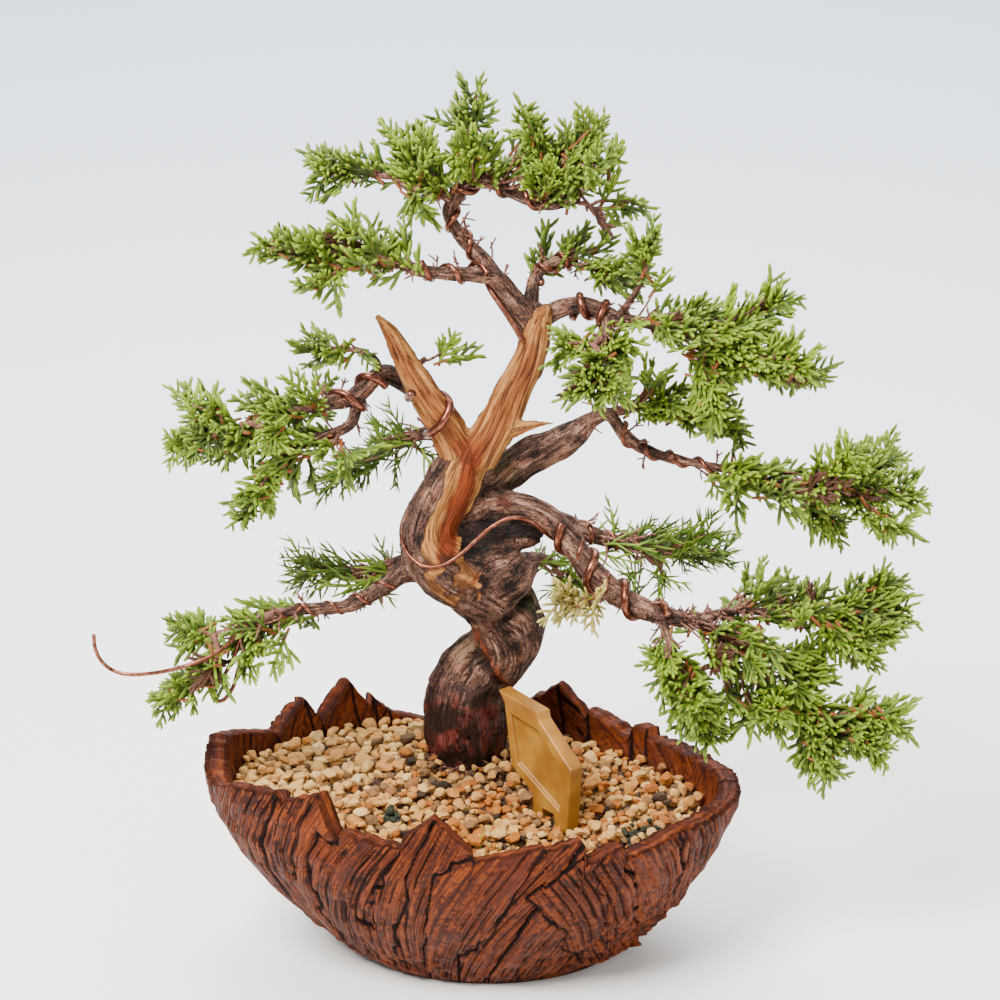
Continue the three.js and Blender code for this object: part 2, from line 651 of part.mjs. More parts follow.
function potSolid() {
  const low = POT.outer.filter(([, z]) => z <= POT.level);
  const rings = low.length + 3; // low rings, one between, the outer rim and the inner rim
  const inside = POT.inner.filter(([, z]) => z <= 60).reverse();
  const count = 1 + rings + inside.length + 1;
  const body = lathe(count, POT.sectors, (j, angle) => {
    const { height } = slabAt(angle);
    const sector = Math.round((angle * POT.sectors) / (2 * Math.PI));
    if (j === 0) return oval(0, angle, 0);
    if (j === count - 1) return oval(0, angle, POT.floor);
    if (j > rings) return oval(inside[j - rings - 1][0], angle, inside[j - rings - 1][1]);
    if (j === rings) return oval(along(POT.inner, height - 0.8), angle, height - 0.8);
    if (j <= low.length) {
      const [halfLength, z] = low[j - 1];
      const { proud } = slabAt(angle, height - z);
      const ridge = z > 0 ? POT.ridge * ((sector + j) % 2) + proud * Math.min(1, z / 20) : 0;
      return oval(halfLength + ridge, angle, z);
    }
    const z = j === rings - 1 ? height : (POT.level + height) / 2;
    const { proud } = slabAt(angle, height - z);
    const ridge = POT.ridge * ((sector + j) % 2) * (j === rings - 1 ? 0.6 : 1);
    return oval(along(POT.outer, z) + ridge + proud, angle, z);
  });
  const drills = [-1, 1].map((side) =>
    solid(
      new THREE.CylinderGeometry(POT.drainRadius, POT.drainRadius, 4 * POT.floor, 12)
        .rotateX(Math.PI / 2)
        .translate(POT.lean + side * POT.drainOffset, 0, 0),
    ),
  );
  return body.subtract(union(drills));
}

function soilHeight(x, y) {
  const [trunkX, trunkY] = LIMBS.trunk.points[0];
  const away = Math.hypot(x - trunkX, y - trunkY) / SOIL.moundRadius;
  return SOIL.level + SOIL.slope * x + SOIL.mound * Math.exp(-away * away);
}

// The inside of the pot below the granules, with the gap taken off.
function cavitySolid() {
  const rings = POT.inner.filter(([, z]) => z <= 80);
  return lathe(rings.length + 2, POT.sectors / 3, (j, angle) => {
    if (j === 0) return oval(0, angle, POT.floor + GAP);
    if (j === rings.length + 1) return oval(0, angle, rings.at(-1)[1]);
    const [halfLength, z] = rings[j - 1];
    return oval(halfLength - 2 * GAP, angle, j === 1 ? z + GAP : z);
  });
}

function soilSolid(cutters) {
  const random = seeded(11);
  const [length, width] = SOIL.block;
  const [columns, rows] = [length, width].map((size) => Math.round(size / SOIL.grain));
  const geometry = new THREE.BoxGeometry(length, width, length, columns, rows, 1);
  const position = geometry.getAttribute("position");
  const raised = new Map();
  for (let k = 0; k < position.count; k++) {
    const [x, y, z] = [position.getX(k), position.getY(k), position.getZ(k)];
    if (z < 0) continue;
    const [i, j] = [Math.round((x / length + 0.5) * columns), Math.round((y / width + 0.5) * rows)];
    const key = i * 1000 + j;
    if (!raised.has(key)) {
      const up = (i + j) % 2 ? 1 : -1;
      const bump = up * SOIL.relief * (0.6 + 0.7 * random());
      const [dx, dy] = [random() - 0.5, random() - 0.5].map((v) => v * SOIL.grain * 0.5);
      raised.set(key, [x + dx, y + dy, soilHeight(x, y) + bump]);
    }
    position.setXYZ(k, ...raised.get(key));
  }
  return largest(solid(geometry).intersect(cavitySolid()).subtract(union(cutters)));
}

// A square of plastic net over a drainage hole.
function screenSolid(x, grow = 0) {
  const { side, thickness, holes, hole, pitch } = SCREEN;
  const depth = thickness + 2 * grow;
  const centre = [x, 0, POT.floor + GAP + thickness / 2];
  const sheet = solid(new THREE.BoxGeometry(side + 2 * grow, side + 2 * grow, depth).translate(...centre));
  if (grow > 0) return sheet;
  const punches = Array.from({ length: holes * holes }, (_, i) => {
    const [u, v] = [i % holes, Math.floor(i / holes)].map((n) => (n - (holes - 1) / 2) * pitch);
    return solid(new THREE.BoxGeometry(hole, hole, 4).translate(...centre).translate(u, v, 0));
  });
  return sheet.subtract(union(punches));
}

// The label: a plate with a panel sunk in each face, on two legs pushed into the soil.
function labelPlate(outline, depth, from, [du, dv] = [0, 0]) {
  const turn = THREE.MathUtils.degToRad(LABEL.turn);
  const across = new THREE.Vector3(Math.cos(turn), -Math.sin(turn), 0);
  const frame = new THREE.Matrix4().makeBasis(across, UP, across.clone().cross(UP));
  frame.setPosition(...LABEL.corner);
  const shape = new THREE.Shape(outline.map(([u, v]) => new THREE.Vector2(u + du, v + dv)));
  const geometry = new THREE.ExtrudeGeometry(shape, { depth, bevelEnabled: false });
  return solid(geometry.translate(0, 0, from).applyMatrix4(frame));
}

function labelSolid() {
  const { thickness, recess, outline, panel } = LABEL;
  const panels = [-1, thickness - recess].map((from) => labelPlate(panel, recess + 1, from));
  return labelPlate(outline, thickness, 0).subtract(union(panels));
}

// The slot that the label's legs stand in.
function labelSlot() {
  const shifts = [[-GAP, 0], [GAP, 0], [-GAP, -GAP], [GAP, -GAP]];
  const depth = LABEL.thickness + 2 * GAP;
  return union(shifts.map((shift) => labelPlate(LABEL.outline, depth, -GAP, shift)));
}

// ---------------------------------------------------------------- the whole plant

const bonsai = new THREE.Group();
bonsai.name = "bonsai";

const tree = union(Object.values(limbs).map((limb) => limb.solid()));
bonsai.add(meshOf("tree", tree, "bark"));

for (const [name, wire] of Object.entries(WIRES)) {
  bonsai.add(meshOf(name, wireSolid(name, wire), "wire"));
}

Object.entries(BUNCHES).forEach(([name, bunch], seed) => {
  bonsai.add(meshOf(`foliage_${name}`, bunchSolid(name, bunch, seed + 1), "foliage"));
});

const screenPlaces = { left: POT.lean - POT.drainOffset, right: POT.lean + POT.drainOffset };
const cutters = [limbs.trunk.solid(GAP), labelSlot()];
for (const [side, x] of Object.entries(screenPlaces)) {
  bonsai.add(meshOf(`drain_screen_${side}`, screenSolid(x), "screen"));
  cutters.push(screenSolid(x, GAP));
}
bonsai.add(meshOf("soil", soilSolid(cutters), "granules"));
bonsai.add(meshOf("pot", potSolid(), "ceramic"));
bonsai.add(meshOf("plant_label", labelSolid(), "label"));

export default bonsai;
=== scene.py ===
"""A wire-trained juniper bonsai in a torn, bark-like ceramic bowl, dressed around its frame.

Sizes are written in millimetres and multiplied by MM, because the frame is in metres.
"""

import logging
import math
from collections.abc import Callable, Iterable, Sequence
from dataclasses import dataclass, field, replace
from enum import Enum
from functools import partial
from itertools import islice
from random import Random

import bmesh
import bpy
from mathutils import Matrix, Vector, noise
from mathutils.bvhtree import BVHTree
from mathutils.kdtree import KDTree


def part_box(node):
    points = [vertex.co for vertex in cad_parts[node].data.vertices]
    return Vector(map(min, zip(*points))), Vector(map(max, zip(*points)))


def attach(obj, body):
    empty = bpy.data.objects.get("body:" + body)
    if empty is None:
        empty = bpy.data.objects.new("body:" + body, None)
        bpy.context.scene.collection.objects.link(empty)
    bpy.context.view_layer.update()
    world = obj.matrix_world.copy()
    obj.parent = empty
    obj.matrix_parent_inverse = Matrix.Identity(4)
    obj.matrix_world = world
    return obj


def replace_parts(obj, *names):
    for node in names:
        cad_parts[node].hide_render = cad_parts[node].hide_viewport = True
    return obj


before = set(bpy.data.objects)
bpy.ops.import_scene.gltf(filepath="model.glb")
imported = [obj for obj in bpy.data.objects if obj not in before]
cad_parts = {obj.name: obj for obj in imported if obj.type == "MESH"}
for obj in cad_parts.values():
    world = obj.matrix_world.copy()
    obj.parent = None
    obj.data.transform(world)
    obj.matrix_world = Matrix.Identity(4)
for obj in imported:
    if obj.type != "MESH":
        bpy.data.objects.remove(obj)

MM = 0.001
TURN = 2 * math.pi
UP = Vector((0, 0, 1))
FRONT = Vector((0, -1, 0))
Colour = tuple[float, float, float]
BMesh = bmesh.types.BMesh
Material, Mesh, Object = bpy.types.Material, bpy.types.Mesh, bpy.types.Object
log = logging.getLogger("bonsai")
noise.seed_set(5)  # its vectors follow the clock otherwise


# ---- numbers


def clamp(value: float, low: float = 0.0, high: float = 1.0) -> float:
    """Keeps a value between low and high."""
    return max(low, min(high, value))


def smoothstep(low: float, high: float, value: float) -> float:
    """Runs smoothly from 0 at low to 1 at high."""
    share = clamp((value - low) / (high - low))
    return share * share * (3 - 2 * share)


def mix(a: float, b: float, share: float) -> float:
    """Reads the value at a share of the way from a to b."""
    return a + (b - a) * share


def rgb(code: str) -> Colour:
    """Turns a colour as seen on a screen, such as "c8a060", into linear light."""
    parts = [int(code[i : i + 2], 16) / 255 for i in (0, 2, 4)]
    return tuple(p / 12.92 if p < 0.04045 else ((p + 0.055) / 1.055) ** 2.4 for p in parts)


# ---- shader graphs


class Value:
    """One output of a material's graph, with arithmetic that adds Math nodes."""

    def __init__(self, graph: "Graph", socket: bpy.types.NodeSocket) -> None:
        """Wraps a socket of a graph."""
        self.graph = graph
        self.socket = socket

    def _math(self, operation: str, *values: object) -> "Value":
        """Adds one Math node."""
        return self.graph.node("ShaderNodeMath", dict(enumerate(values)), operation=operation)

    def __add__(self, other: object) -> "Value":
        """Adds."""
        return self._math("ADD", self, other)

    def __sub__(self, other: object) -> "Value":
        """Subtracts."""
        return self._math("SUBTRACT", self, other)

    def __mul__(self, other: object) -> "Value":
        """Multiplies."""
        return self._math("MULTIPLY", self, other)

    def __rsub__(self, other: object) -> "Value":
        """Subtracts from a number."""
        return self._math("SUBTRACT", other, self)

    def __abs__(self) -> "Value":
        """Drops the sign."""
        return self._math("ABSOLUTE", self)

    __radd__ = __add__
    __rmul__ = __mul__

    def between(self, low: float, high: float) -> "Value":
        """Runs smoothly from 0 where the value is low to 1 where it is high."""
        inputs = {"Value": self, "From Min": low, "From Max": high}
        return self.graph.node("ShaderNodeMapRange", inputs, "Result", interpolation_type="SMOOTHSTEP")

    def at_least(self, other: "Value") -> "Value":
        """Takes the larger of two values."""
        return self._math("MAXIMUM", self, other)

    def line(self, width: float, at: float = 0.5) -> "Value":
        """Draws a thin line of 1 where the value crosses a level, which fades over a width."""
        return 1 - abs(self - at).between(0.0, width)


class Graph:
    """The node graph of one material, with its shader and its output in place."""

    def __init__(self, name: str) -> None:
        """Starts a material.

        Args:
            name: The material's name.
        """
        self.material = bpy.data.materials.new(name)
        self.material.use_nodes = True
        self.tree = self.material.node_tree
        self.shader = self.tree.nodes["Principled BSDF"]

    def node(self, kind: str, inputs: dict, output: str | int = 0, **settings: object) -> Value:
        """Adds a node.

        Args:
            kind: The node's type.
            inputs: A value or a link for each named or numbered socket.
            output: The output socket to hand back.
            settings: The node's own settings, which are set first; stops fills a colour ramp.

        Returns:
            The output, ready for arithmetic.
        """
        node = self.tree.nodes.new(kind)
        stops = settings.pop("stops", None)
        for name, setting in settings.items():
            setattr(node, name, setting)
        if stops:
            ramp = node.color_ramp.elements
            while len(ramp) < len(stops):
                ramp.new(1)
            for element, (place, colour) in zip(ramp, stops):
                element.position = place
                element.color = (*colour, 1)
        for key, value in inputs.items():
            self.set(node.inputs[key], value)
        return Value(self, node.outputs[output])

    def set(self, socket: bpy.types.NodeSocket, value: object) -> None:
        """Links a value to a socket, or sets the socket's own number or colour.

        Args:
            socket: The socket.
            value: A link, a number or a colour.
        """
        if isinstance(value, Value):
            self.tree.links.new(value.socket, socket)
        elif isinstance(value, tuple) and len(value) == 3 and socket.type == "RGBA":
            socket.default_value = (*value, 1)
        else:
            socket.default_value = value

    def finish(self, **sockets: object) -> Material:
        """Sets the shader's sockets.

        Args:
            sockets: What goes into each, with _ in its name for each space.

        Returns:
            The material.
        """
        for name, value in sockets.items():
            self.set(self.shader.inputs[name.replace("_", " ")], value)
        return self.material

    def attribute(self, name: str, output: str = "Fac") -> Value:
        """Reads an attribute of the mesh."""
        return self.node("ShaderNodeAttribute", {}, output, attribute_name=name)

    def place(self, scale: float | tuple[float, float, float] = 1.0, source: Value | None = None) -> Value:
        """Reads the place on the object, or another vector, scaled along its axes.

        Args:
            scale: One factor, or one for each axis.
            source: The vector to read instead of the place.

        Returns:
            The scaled vector.
        """
        source = source or self.node("ShaderNodeTexCoord", {}, "Object")
        factors = scale if isinstance(scale, tuple) else (scale, scale, scale)
        return self.node("ShaderNodeMapping", {"Vector": source, "Scale": factors})

    def noise(self, place: Value, detail: float = 3.0, roughness: float = 0.55, warp: float = 0.0) -> Value:
        """Adds a noise texture whose grains are one unit of the place across."""
        inputs = {"Vector": place, "Scale": 1.0, "Detail": detail, "Roughness": roughness, "Distortion": warp}
        return self.node("ShaderNodeTexNoise", inputs)

    def ramp(self, value: Value, *stops: tuple[float, str]) -> Value:
        """Turns a value into a colour by its stops."""
        made = [(place, rgb(code)) for place, code in stops]
        return self.node("ShaderNodeValToRGB", {"Fac": value}, stops=made)

    def blend(self, a: Value | str, b: Value | str, factor: Value | float) -> Value:
        """Mixes two colours, whose sockets are the node's seventh and eighth."""
        first, second = [rgb(colour) if isinstance(colour, str) else colour for colour in (a, b)]
        return self.node("ShaderNodeMix", {0: factor, 6: first, 7: second}, 2, data_type="RGBA")

    def bump(self, height: Value, distance: float, strength: float = 1.0) -> Value:
        """Turns a height, in units of distance, into a normal."""
        inputs = {"Height": height, "Distance": distance, "Strength": strength}
        return self.node("ShaderNodeBump", inputs, "Normal")


# ---- finishes


@dataclass(frozen=True)
class WoodFinish:
    """Fissured bark, bare deadwood and damp, mossy pinches, told apart by the mesh's attributes, with painted
    shade in the crevices, the hollow, the creases and the limbs' undersides.
    """

    name: str = "juniper_wood"
    plate: tuple[str, str, str] = ("120906", "5e4032", "a88874")  # bark plates, dark to pale
    ruddy: str = "6e3b28"
    # painted shade in the bark's fissures and cracks
    fissure: str = "190d09"
    moss: str = "3c4a12"
    wet: str = "1e0d0b"
    blush: str = "4f1513"
    rust: str = "7c3514"
    heart: tuple[str, str] = ("4c1802", "722e08")
    sapwood: tuple[str, str, str] = ("44240e", "825022", "ac7842")
    old: str = "43220e"
    speck: str = "2c1206"
    crack_shade: str = "2e1408"  # painted shade in the cracks of bare wood
    rim: str = "2a120a"  # the torn bark round bare wood
    scar: str = "3a0f05"
    # painted shade in the hollow, the web, the creases and the limbs' undersides
    painted_shade: str = "080403"

    def material(self) -> Material:
        """Builds the material.

        Returns:
            The material.
        """
        g = Graph(self.name)
        grain = g.attribute("grain", "Vector")
        streaks = g.noise(g.place((800.0, 800.0, 60.0), grain), 4, 0.62, 0.25)
        fine = g.noise(g.place((2600.0, 2600.0, 420.0), grain), 3, 0.6)
        patches = g.noise(g.place(110.0), 4, 0.6)
        specks = g.noise(g.place(1300.0), 2, 0.7)
        cracks = g.noise(g.place((520.0, 520.0, 85.0), grain), 2, 0.5, 0.4)
        crack = cracks.line(0.03) * patches.between(0.4, 0.56)
        shade = streaks * 0.36 + patches * 0.46 + specks * 0.23 - 0.03
        bark = g.ramp(shade, *zip((0.42, 0.52, 0.62), self.plate))
        bark = g.blend(bark, self.ruddy, patches.between(0.5, 0.66) * 0.5)
        crevice = g.attribute("crevice")
        # painted shade: the bark darkens by the depth of its fissures and along its cracks
        bark = g.blend(bark, self.fissure, crevice.between(0.1, 0.9).at_least(crack) * 0.9)
        bark = g.blend(bark, self.rust, g.attribute("rust") * streaks.between(0.4, 0.6))
        damp = g.attribute("damp")
        bark = g.blend(bark, g.blend(self.wet, self.blush, patches.between(0.48, 0.6)), damp * 0.85)
        bark = g.blend(bark, self.moss, g.attribute("moss") * specks.between(0.46, 0.6) * 0.8)
        tan = g.ramp(streaks, *zip((0.36, 0.46, 0.62), self.sapwood))
        centre = g.blend(*self.heart, streaks.between(0.38, 0.62))
        dead = g.blend(tan, centre, g.attribute("heart"))
        dead = g.blend(dead, self.old, g.attribute("old") * patches.between(0.34, 0.52) * 0.85)
        dead = g.blend(dead, self.speck, specks.between(0.64, 0.72) * 0.85)
        # painted shade in the furrows and cracks of bare wood, by their depth
        dead = g.blend(dead, self.crack_shade, crevice.between(0.2, 0.9) * 0.85)
        bare = g.attribute("bare")
        colour = g.blend(bark, dead, bare.between(0.3, 0.6))
        colour = g.blend(colour, self.rim, bare.line(0.4, 0.45) * 0.75)
        colour = g.blend(colour, self.scar, g.attribute("scar") * 0.85)
        # painted shade in the hollow, the web, the creases and the limbs' undersides
        colour = g.blend(colour, self.painted_shade, g.attribute("painted_shade") * 0.96)
        rough = 0.72 - damp * 0.34 - bare * 0.12 + fine * 0.12
        height = streaks * 0.4 + fine * 0.35 - crack * (1 - bare) * 0.9
        return g.finish(
            Base_Color=colour, Roughness=rough, Normal=g.bump(height, 0.8 * MM, 1.0), Specular_IOR_Level=0.18
        )


@dataclass(frozen=True)
class CrumbFinish:
    """A matt finish whose crumbs give both its shades and its bump."""

    name: str
    crumbs: float  # to a metre
    detail: float
    harshness: float
    shades: tuple[tuple[float, str], ...]
    roughness: float
    depth: float
    strength: float = 1.0
    swing: float = 0.0  # how much rougher the palest crumbs are

    def material(self) -> Material:
        """Builds the material.

        Returns:
            The material.
        """
        g = Graph(self.name)
        crumbs = g.noise(g.place(self.crumbs), self.detail, self.harshness)
        colour = g.ramp(crumbs, *self.shades)
        rough = self.roughness + crumbs * self.swing if self.swing else self.roughness
        return g.finish(Base_Color=colour, Roughness=rough, Normal=g.bump(crumbs, self.depth, self.strength))


TWIG_SHADES = ((0.3, "34180f"), (0.5, "6c3f2e"), (0.72, "a07660"))
BED_SHADES = ((0.3, "1c120c"), (0.55, "4a3020"), (0.75, "7a5636"))
MOSS_SHADES = ((0.35, "10120a"), (0.55, "2a2c16"), (0.72, "5e6a2c"))
NET_SHADES = ((0.4, "0e0e0e"), (0.7, "3a342e"))
TWIG_BARK = CrumbFinish("twig_bark", 900.0, 3, 0.6, TWIG_SHADES, 0.8, 0.3 * MM, 0.9)
ROOTLET_BARK = replace(TWIG_BARK, name="rootlet_bark")
SOIL_BED = CrumbFinish("soil_bed", 700.0, 4, 0.7, BED_SHADES, 0.95, 1.0 * MM)
DARK_MOSS = CrumbFinish("dark_moss", 900.0, 4, 0.7, MOSS_SHADES, 0.9, 1.0 * MM)
DRAIN_NET = CrumbFinish("drain_net", 300.0, 3, 0.6, NET_SHADES, 0.55, 0.1 * MM, 0.5, 0.2)


@dataclass(frozen=True)
class LeafFinish:
    """Scale-leaved shoots: dark green in painted shade inside a bunch, yellow-green in painted light on its
    outside and top, with pale tips.
    """

    name: str
    # painted shade deep inside a bunch
    inner: str = "263408"
    body: tuple[str, str, str] = ("364a08", "52690a", "778e16")
    tip: str = "98ad2a"
    stem: str = "7c4018"
    dead: tuple[str, str] = ("4e2810", "30160a")

    def material(self) -> Material:
        """Builds the material.

        Returns:
            The material.
        """
        g = Graph(self.name)
        tint = g.attribute("tint")
        along = g.attribute("along")
        scales = g.noise(g.place(1300.0), 2, 0.5)
        body = g.ramp(tint * 0.7 + scales * 0.3, *zip((0.2, 0.5, 0.8), self.body))
        # painted light: dark inside the bunch, lighter towards its outside and top
        colour = g.blend(self.inner, body, g.attribute("painted_light").between(-0.2, 0.7))
        colour = g.blend(colour, self.tip, along.between(0.45, 1.05) * 0.45)
        colour = g.blend(colour, self.stem, g.attribute("woody").between(0.25, 0.75))
        colour = g.blend(colour, g.blend(*self.dead, scales), g.attribute("withered"))
        return g.finish(
            Base_Color=colour,
            Roughness=0.5 + scales * 0.15,
            Normal=g.bump(scales, 0.25 * MM, 0.7),
            Subsurface_Weight=0.12,
            Subsurface_Radius=(0.6, 1.0, 0.25),
            Subsurface_Scale=0.8 * MM,
            Specular_IOR_Level=0.35,
        )


@dataclass(frozen=True)
class CeramicFinish:
    """Red-brown stoneware with painted shade in its grooves, seams and hollows, and orange-brown ridges that
    are worn clay with a painted highlight.
    """

    name: str = "bark_stoneware"
    body: tuple[str, str, str] = ("280b07", "3e160b", "56220d")
    # worn, paler clay with a painted highlight on slab edges, lump tops and the brinks of grooves
    worn_ridge_and_highlight: str = "7c380e"
    # painted shade in the grooves, the slab seams, the scored lines and between the lumps
    painted_groove_shade: str = "100402"
    stain: str = "1c0a10"

    def material(self) -> Material:
        """Builds the material.

        Returns:
            The material.
        """
        g = Graph(self.name)
        grain = g.attribute("grain", "Vector")
        scores = g.noise(g.place((420.0, 14.0, 900.0), grain), 1, 0.5)
        score = scores.line(0.03)
        hairs = g.noise(g.place((1100.0, 34.0, 900.0), grain), 1, 0.5)
        hair = hairs.line(0.05)
        streaks = g.noise(g.place((620.0, 32.0, 60.0), grain), 3, 0.6)
        patches = g.noise(g.place(52.0), 3, 0.6)
        mottle = g.noise(g.place(460.0), 4, 0.65)
        crevice = g.attribute("crevice")
        shade = streaks * 0.1 + patches * 0.5 + mottle * 0.4
        colour = g.ramp(shade, *zip((0.4, 0.5, 0.6), self.body))
        # a painted highlight on slab edges and lump tops, with worn clay
        wear_and_highlight = g.attribute("edge") * 0.8 + mottle.between(0.52, 0.7) * 0.4
        colour = g.blend(colour, self.worn_ridge_and_highlight, wear_and_highlight * streaks.between(0.4, 0.6) * 0.7)
        # the brinks of the grooves get the same painted highlight on worn clay
        brink = crevice.between(0.03, 0.2) * (1 - crevice.between(0.25, 0.5))
        colour = g.blend(colour, self.worn_ridge_and_highlight, brink * mottle.between(0.4, 0.56) * 0.8)
        stain = patches.between(0.5, 0.6) * mottle.between(0.52, 0.64)
        colour = g.blend(colour, self.stain, stain * 0.5)
        scored = score * crevice.between(-0.3, 0.2) * 0.7
        # painted shade, by the depth of the grooves, seams, scored lines and hairlines
        dark = crevice.between(0.1, 0.8).at_least(scored).at_least(hair * 0.3)
        colour = g.blend(colour, self.painted_groove_shade, dark * 0.95)
        rough = 0.42 + mottle * 0.2 + dark * 0.3
        height = streaks * 0.25 + mottle * 0.3 - score * 0.6 - hair * 0.3
        return g.finish(
            Base_Color=colour, Roughness=rough, Normal=g.bump(height, 0.5 * MM, 1.0), Specular_IOR_Level=0.12
        )


@dataclass(frozen=True)
class GranuleFinish:
    """Matt grains of pumice and baked clay, each with its own tint."""

    name: str = "soil_granules"
    tints: tuple[tuple[float, str], ...] = (
        (0.0, "1c1814"), (0.05, "3a2e24"), (0.14, "624a32"), (0.24, "7e5a38"), (0.34, "9a541e"),
        (0.46, "a66426"), (0.6, "b07a40"), (0.76, "c09254"), (0.9, "cca468"), (1.0, "d6b47c"),
    )
    pit: str = "4c2e16"
    damp: str = "140d08"

    def material(self) -> Material:
        """Builds the material.

        Returns:
            The material.
        """
        g = Graph(self.name)
        pits = g.noise(g.place(1400.0), 3, 0.7)
        cloud = g.noise(g.place(420.0), 2, 0.5)
        colour = g.ramp(g.attribute("tint") + (cloud - 0.5) * 0.12, *self.tints)
        colour = g.blend(colour, self.pit, pits.between(0.52, 0.68) * 0.6)
        colour = g.blend(colour, self.damp, g.attribute("damp") * 0.75)
        return g.finish(
            Base_Color=colour, Roughness=0.92, Normal=g.bump(pits, 0.4 * MM, 1.0), Specular_IOR_Level=0.15
        )


@dataclass(frozen=True)
class WireFinish:
    """Copper-brown anodised aluminium wire with paler cut ends."""

    name: str = "anodised_wire"
    coat: tuple[str, str, str] = ("4e261c", "70402f", "94604e")
    cut: str = "80594a"

    def material(self) -> Material:
        """Builds the material.

        Returns:
            The material.
        """
        g = Graph(self.name)
        scuff = g.noise(g.place(600.0), 3, 0.6)
        colour = g.ramp(scuff, *zip((0.3, 0.5, 0.7), self.coat))
        colour = g.blend(colour, self.cut, g.attribute("cut"))
        rough = 0.26 + scuff * 0.14
        normal = g.bump(scuff, 0.06 * MM, 0.5)
        return g.finish(Base_Color=colour, Metallic=0.9, Roughness=rough, Normal=normal)


@dataclass(frozen=True)
class LabelFinish:
    """Waxy yellow plastic, a little translucent, with faint specks."""

    name: str = "waxy_label"
    body: tuple[str, str, str] = ("7e5010", "8c5c16", "a07024")
    speck: str = "7c4e18"

    def material(self) -> Material:
        """Builds the material.

        Returns:
            The material.
        """
        g = Graph(self.name)
        cloud = g.noise(g.place(70.0), 2, 0.5)
        specks = g.noise(g.place(900.0), 2, 0.6)
        colour = g.ramp(cloud, *zip((0.35, 0.5, 0.65), self.body))
        colour = g.blend(colour, self.speck, specks.between(0.7, 0.78) * 0.7)
        return g.finish(
            Base_Color=colour,
            Roughness=0.42 + specks * 0.08,
            Normal=g.bump(specks, 0.08 * MM, 0.6),
            Subsurface_Weight=0.35,
            Subsurface_Radius=(1.0, 0.55, 0.2),
            Subsurface_Scale=3 * MM,
        )


# ---- meshes


def mesh_of(bm: BMesh, name: str) -> Mesh:
    """Turns a bmesh into a mesh and frees it.

    Args:
        bm: The bmesh.
        name: The mesh's name.

    Returns:
        The mesh.
    """
    mesh = bpy.data.meshes.new(name)
    bm.to_mesh(mesh)
    bm.free()
    return mesh


def placed(name: str, data: bpy.types.ID) -> Object:
    """Puts a mesh, a light or a camera in the scene.

    Args:
        name: The object's name.
        data: What it shows.

    Returns:
        The object.
    """
    made = bpy.data.objects.new(name, data)
    bpy.context.scene.collection.objects.link(made)
    return made


def new_piece(name: str, bm: BMesh, slot: str, *materials: Material) -> Object:
    """Makes a smooth-shaded piece of the object, at the origin, on the frame's one body.

    Args:
        name: The piece's name.
        bm: Its mesh, which is freed.
        slot: The record's material slot; not used.
        materials: Its materials in the order of the faces' indices.

    Returns:
        The new object.
    """
    mesh = mesh_of(bm, name)
    mesh.polygons.foreach_set("use_smooth", [True] * len(mesh.polygons))
    for material in materials:
        mesh.materials.append(material)
    piece = placed(name, mesh)
    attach(piece, "root")
    log.info("%s: %d faces", name, len(mesh.polygons))
    return piece


def node_copy(node: str) -> BMesh:
    """Copies a node of the frame, with its loose triangles merged.

    Args:
        node: The node's name.

    Returns:
        The copy.
    """
    bm = bmesh.new()
    bm.from_mesh(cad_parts[node].data)
    bmesh.ops.remove_doubles(bm, verts=bm.verts, dist=1e-6)
    return bm


def node_tree_of(node: str) -> BVHTree:
    """Makes a search tree over a node of the frame.

    Args:
        node: The node's name.

    Returns:
        The tree.
    """
    bm = node_copy(node)
    tree = BVHTree.FromBMesh(bm)
    bm.free()
    return tree


def near_tree(places: Sequence[Vector]) -> KDTree:
    """Makes a search tree over places.

    Args:
        places: The places.

    Returns:
        The tree, which finds a place's index.
    """
    tree = KDTree(len(places))
    for index, place in enumerate(places):
        tree.insert(place, index)
    tree.balance()
    return tree


def stray(rng: Random, reach: float = 1.0) -> Vector:
    """A vector whose three parts are each drawn between -reach and reach."""
    return Vector([rng.uniform(-reach, reach) for _ in range(3)])


def stamp(bm: BMesh, form: Mesh, move: Matrix) -> int:
    """Adds a moved copy of a form to a mesh.

    Args:
        bm: The mesh.
        form: The form.
        move: Turns, scales and places the copy.

    Returns:
        How many vertices it has.
    """
    copy = form.copy()
    copy.transform(move)
    bm.from_mesh(copy)
    bpy.data.meshes.remove(copy)
    return len(form.vertices)


def close(bm: BMesh) -> None:
    """Merges the meeting edges of a bent grid and turns its faces out.

    Args:
        bm: The grid, bent into a closed shape.
    """
    bmesh.ops.remove_doubles(bm, verts=bm.verts, dist=1e-7)
    if bm.calc_volume(signed=True) < 0:
        bmesh.ops.reverse_faces(bm, faces=bm.faces)


def sheet(columns: int, rows: int, place: Callable[[int, int], Vector]) -> BMesh:
    """Bends a grid into a closed shape: its sides meet, and its first and last rows close.

    Args:
        columns: Faces round the shape.
        rows: Faces from its first pole to its last.
        place: Gives the place of the vertex at a column and a row.

    Returns:
        The closed mesh, with its faces out.
    """
    bm = bmesh.new()
    bmesh.ops.create_grid(bm, x_segments=columns, y_segments=rows, size=0.5)
    for index, vert in enumerate(bm.verts):
        row, column = divmod(index, columns + 1)
        vert.co = place(column % columns, row)
    close(bm)
    return bm


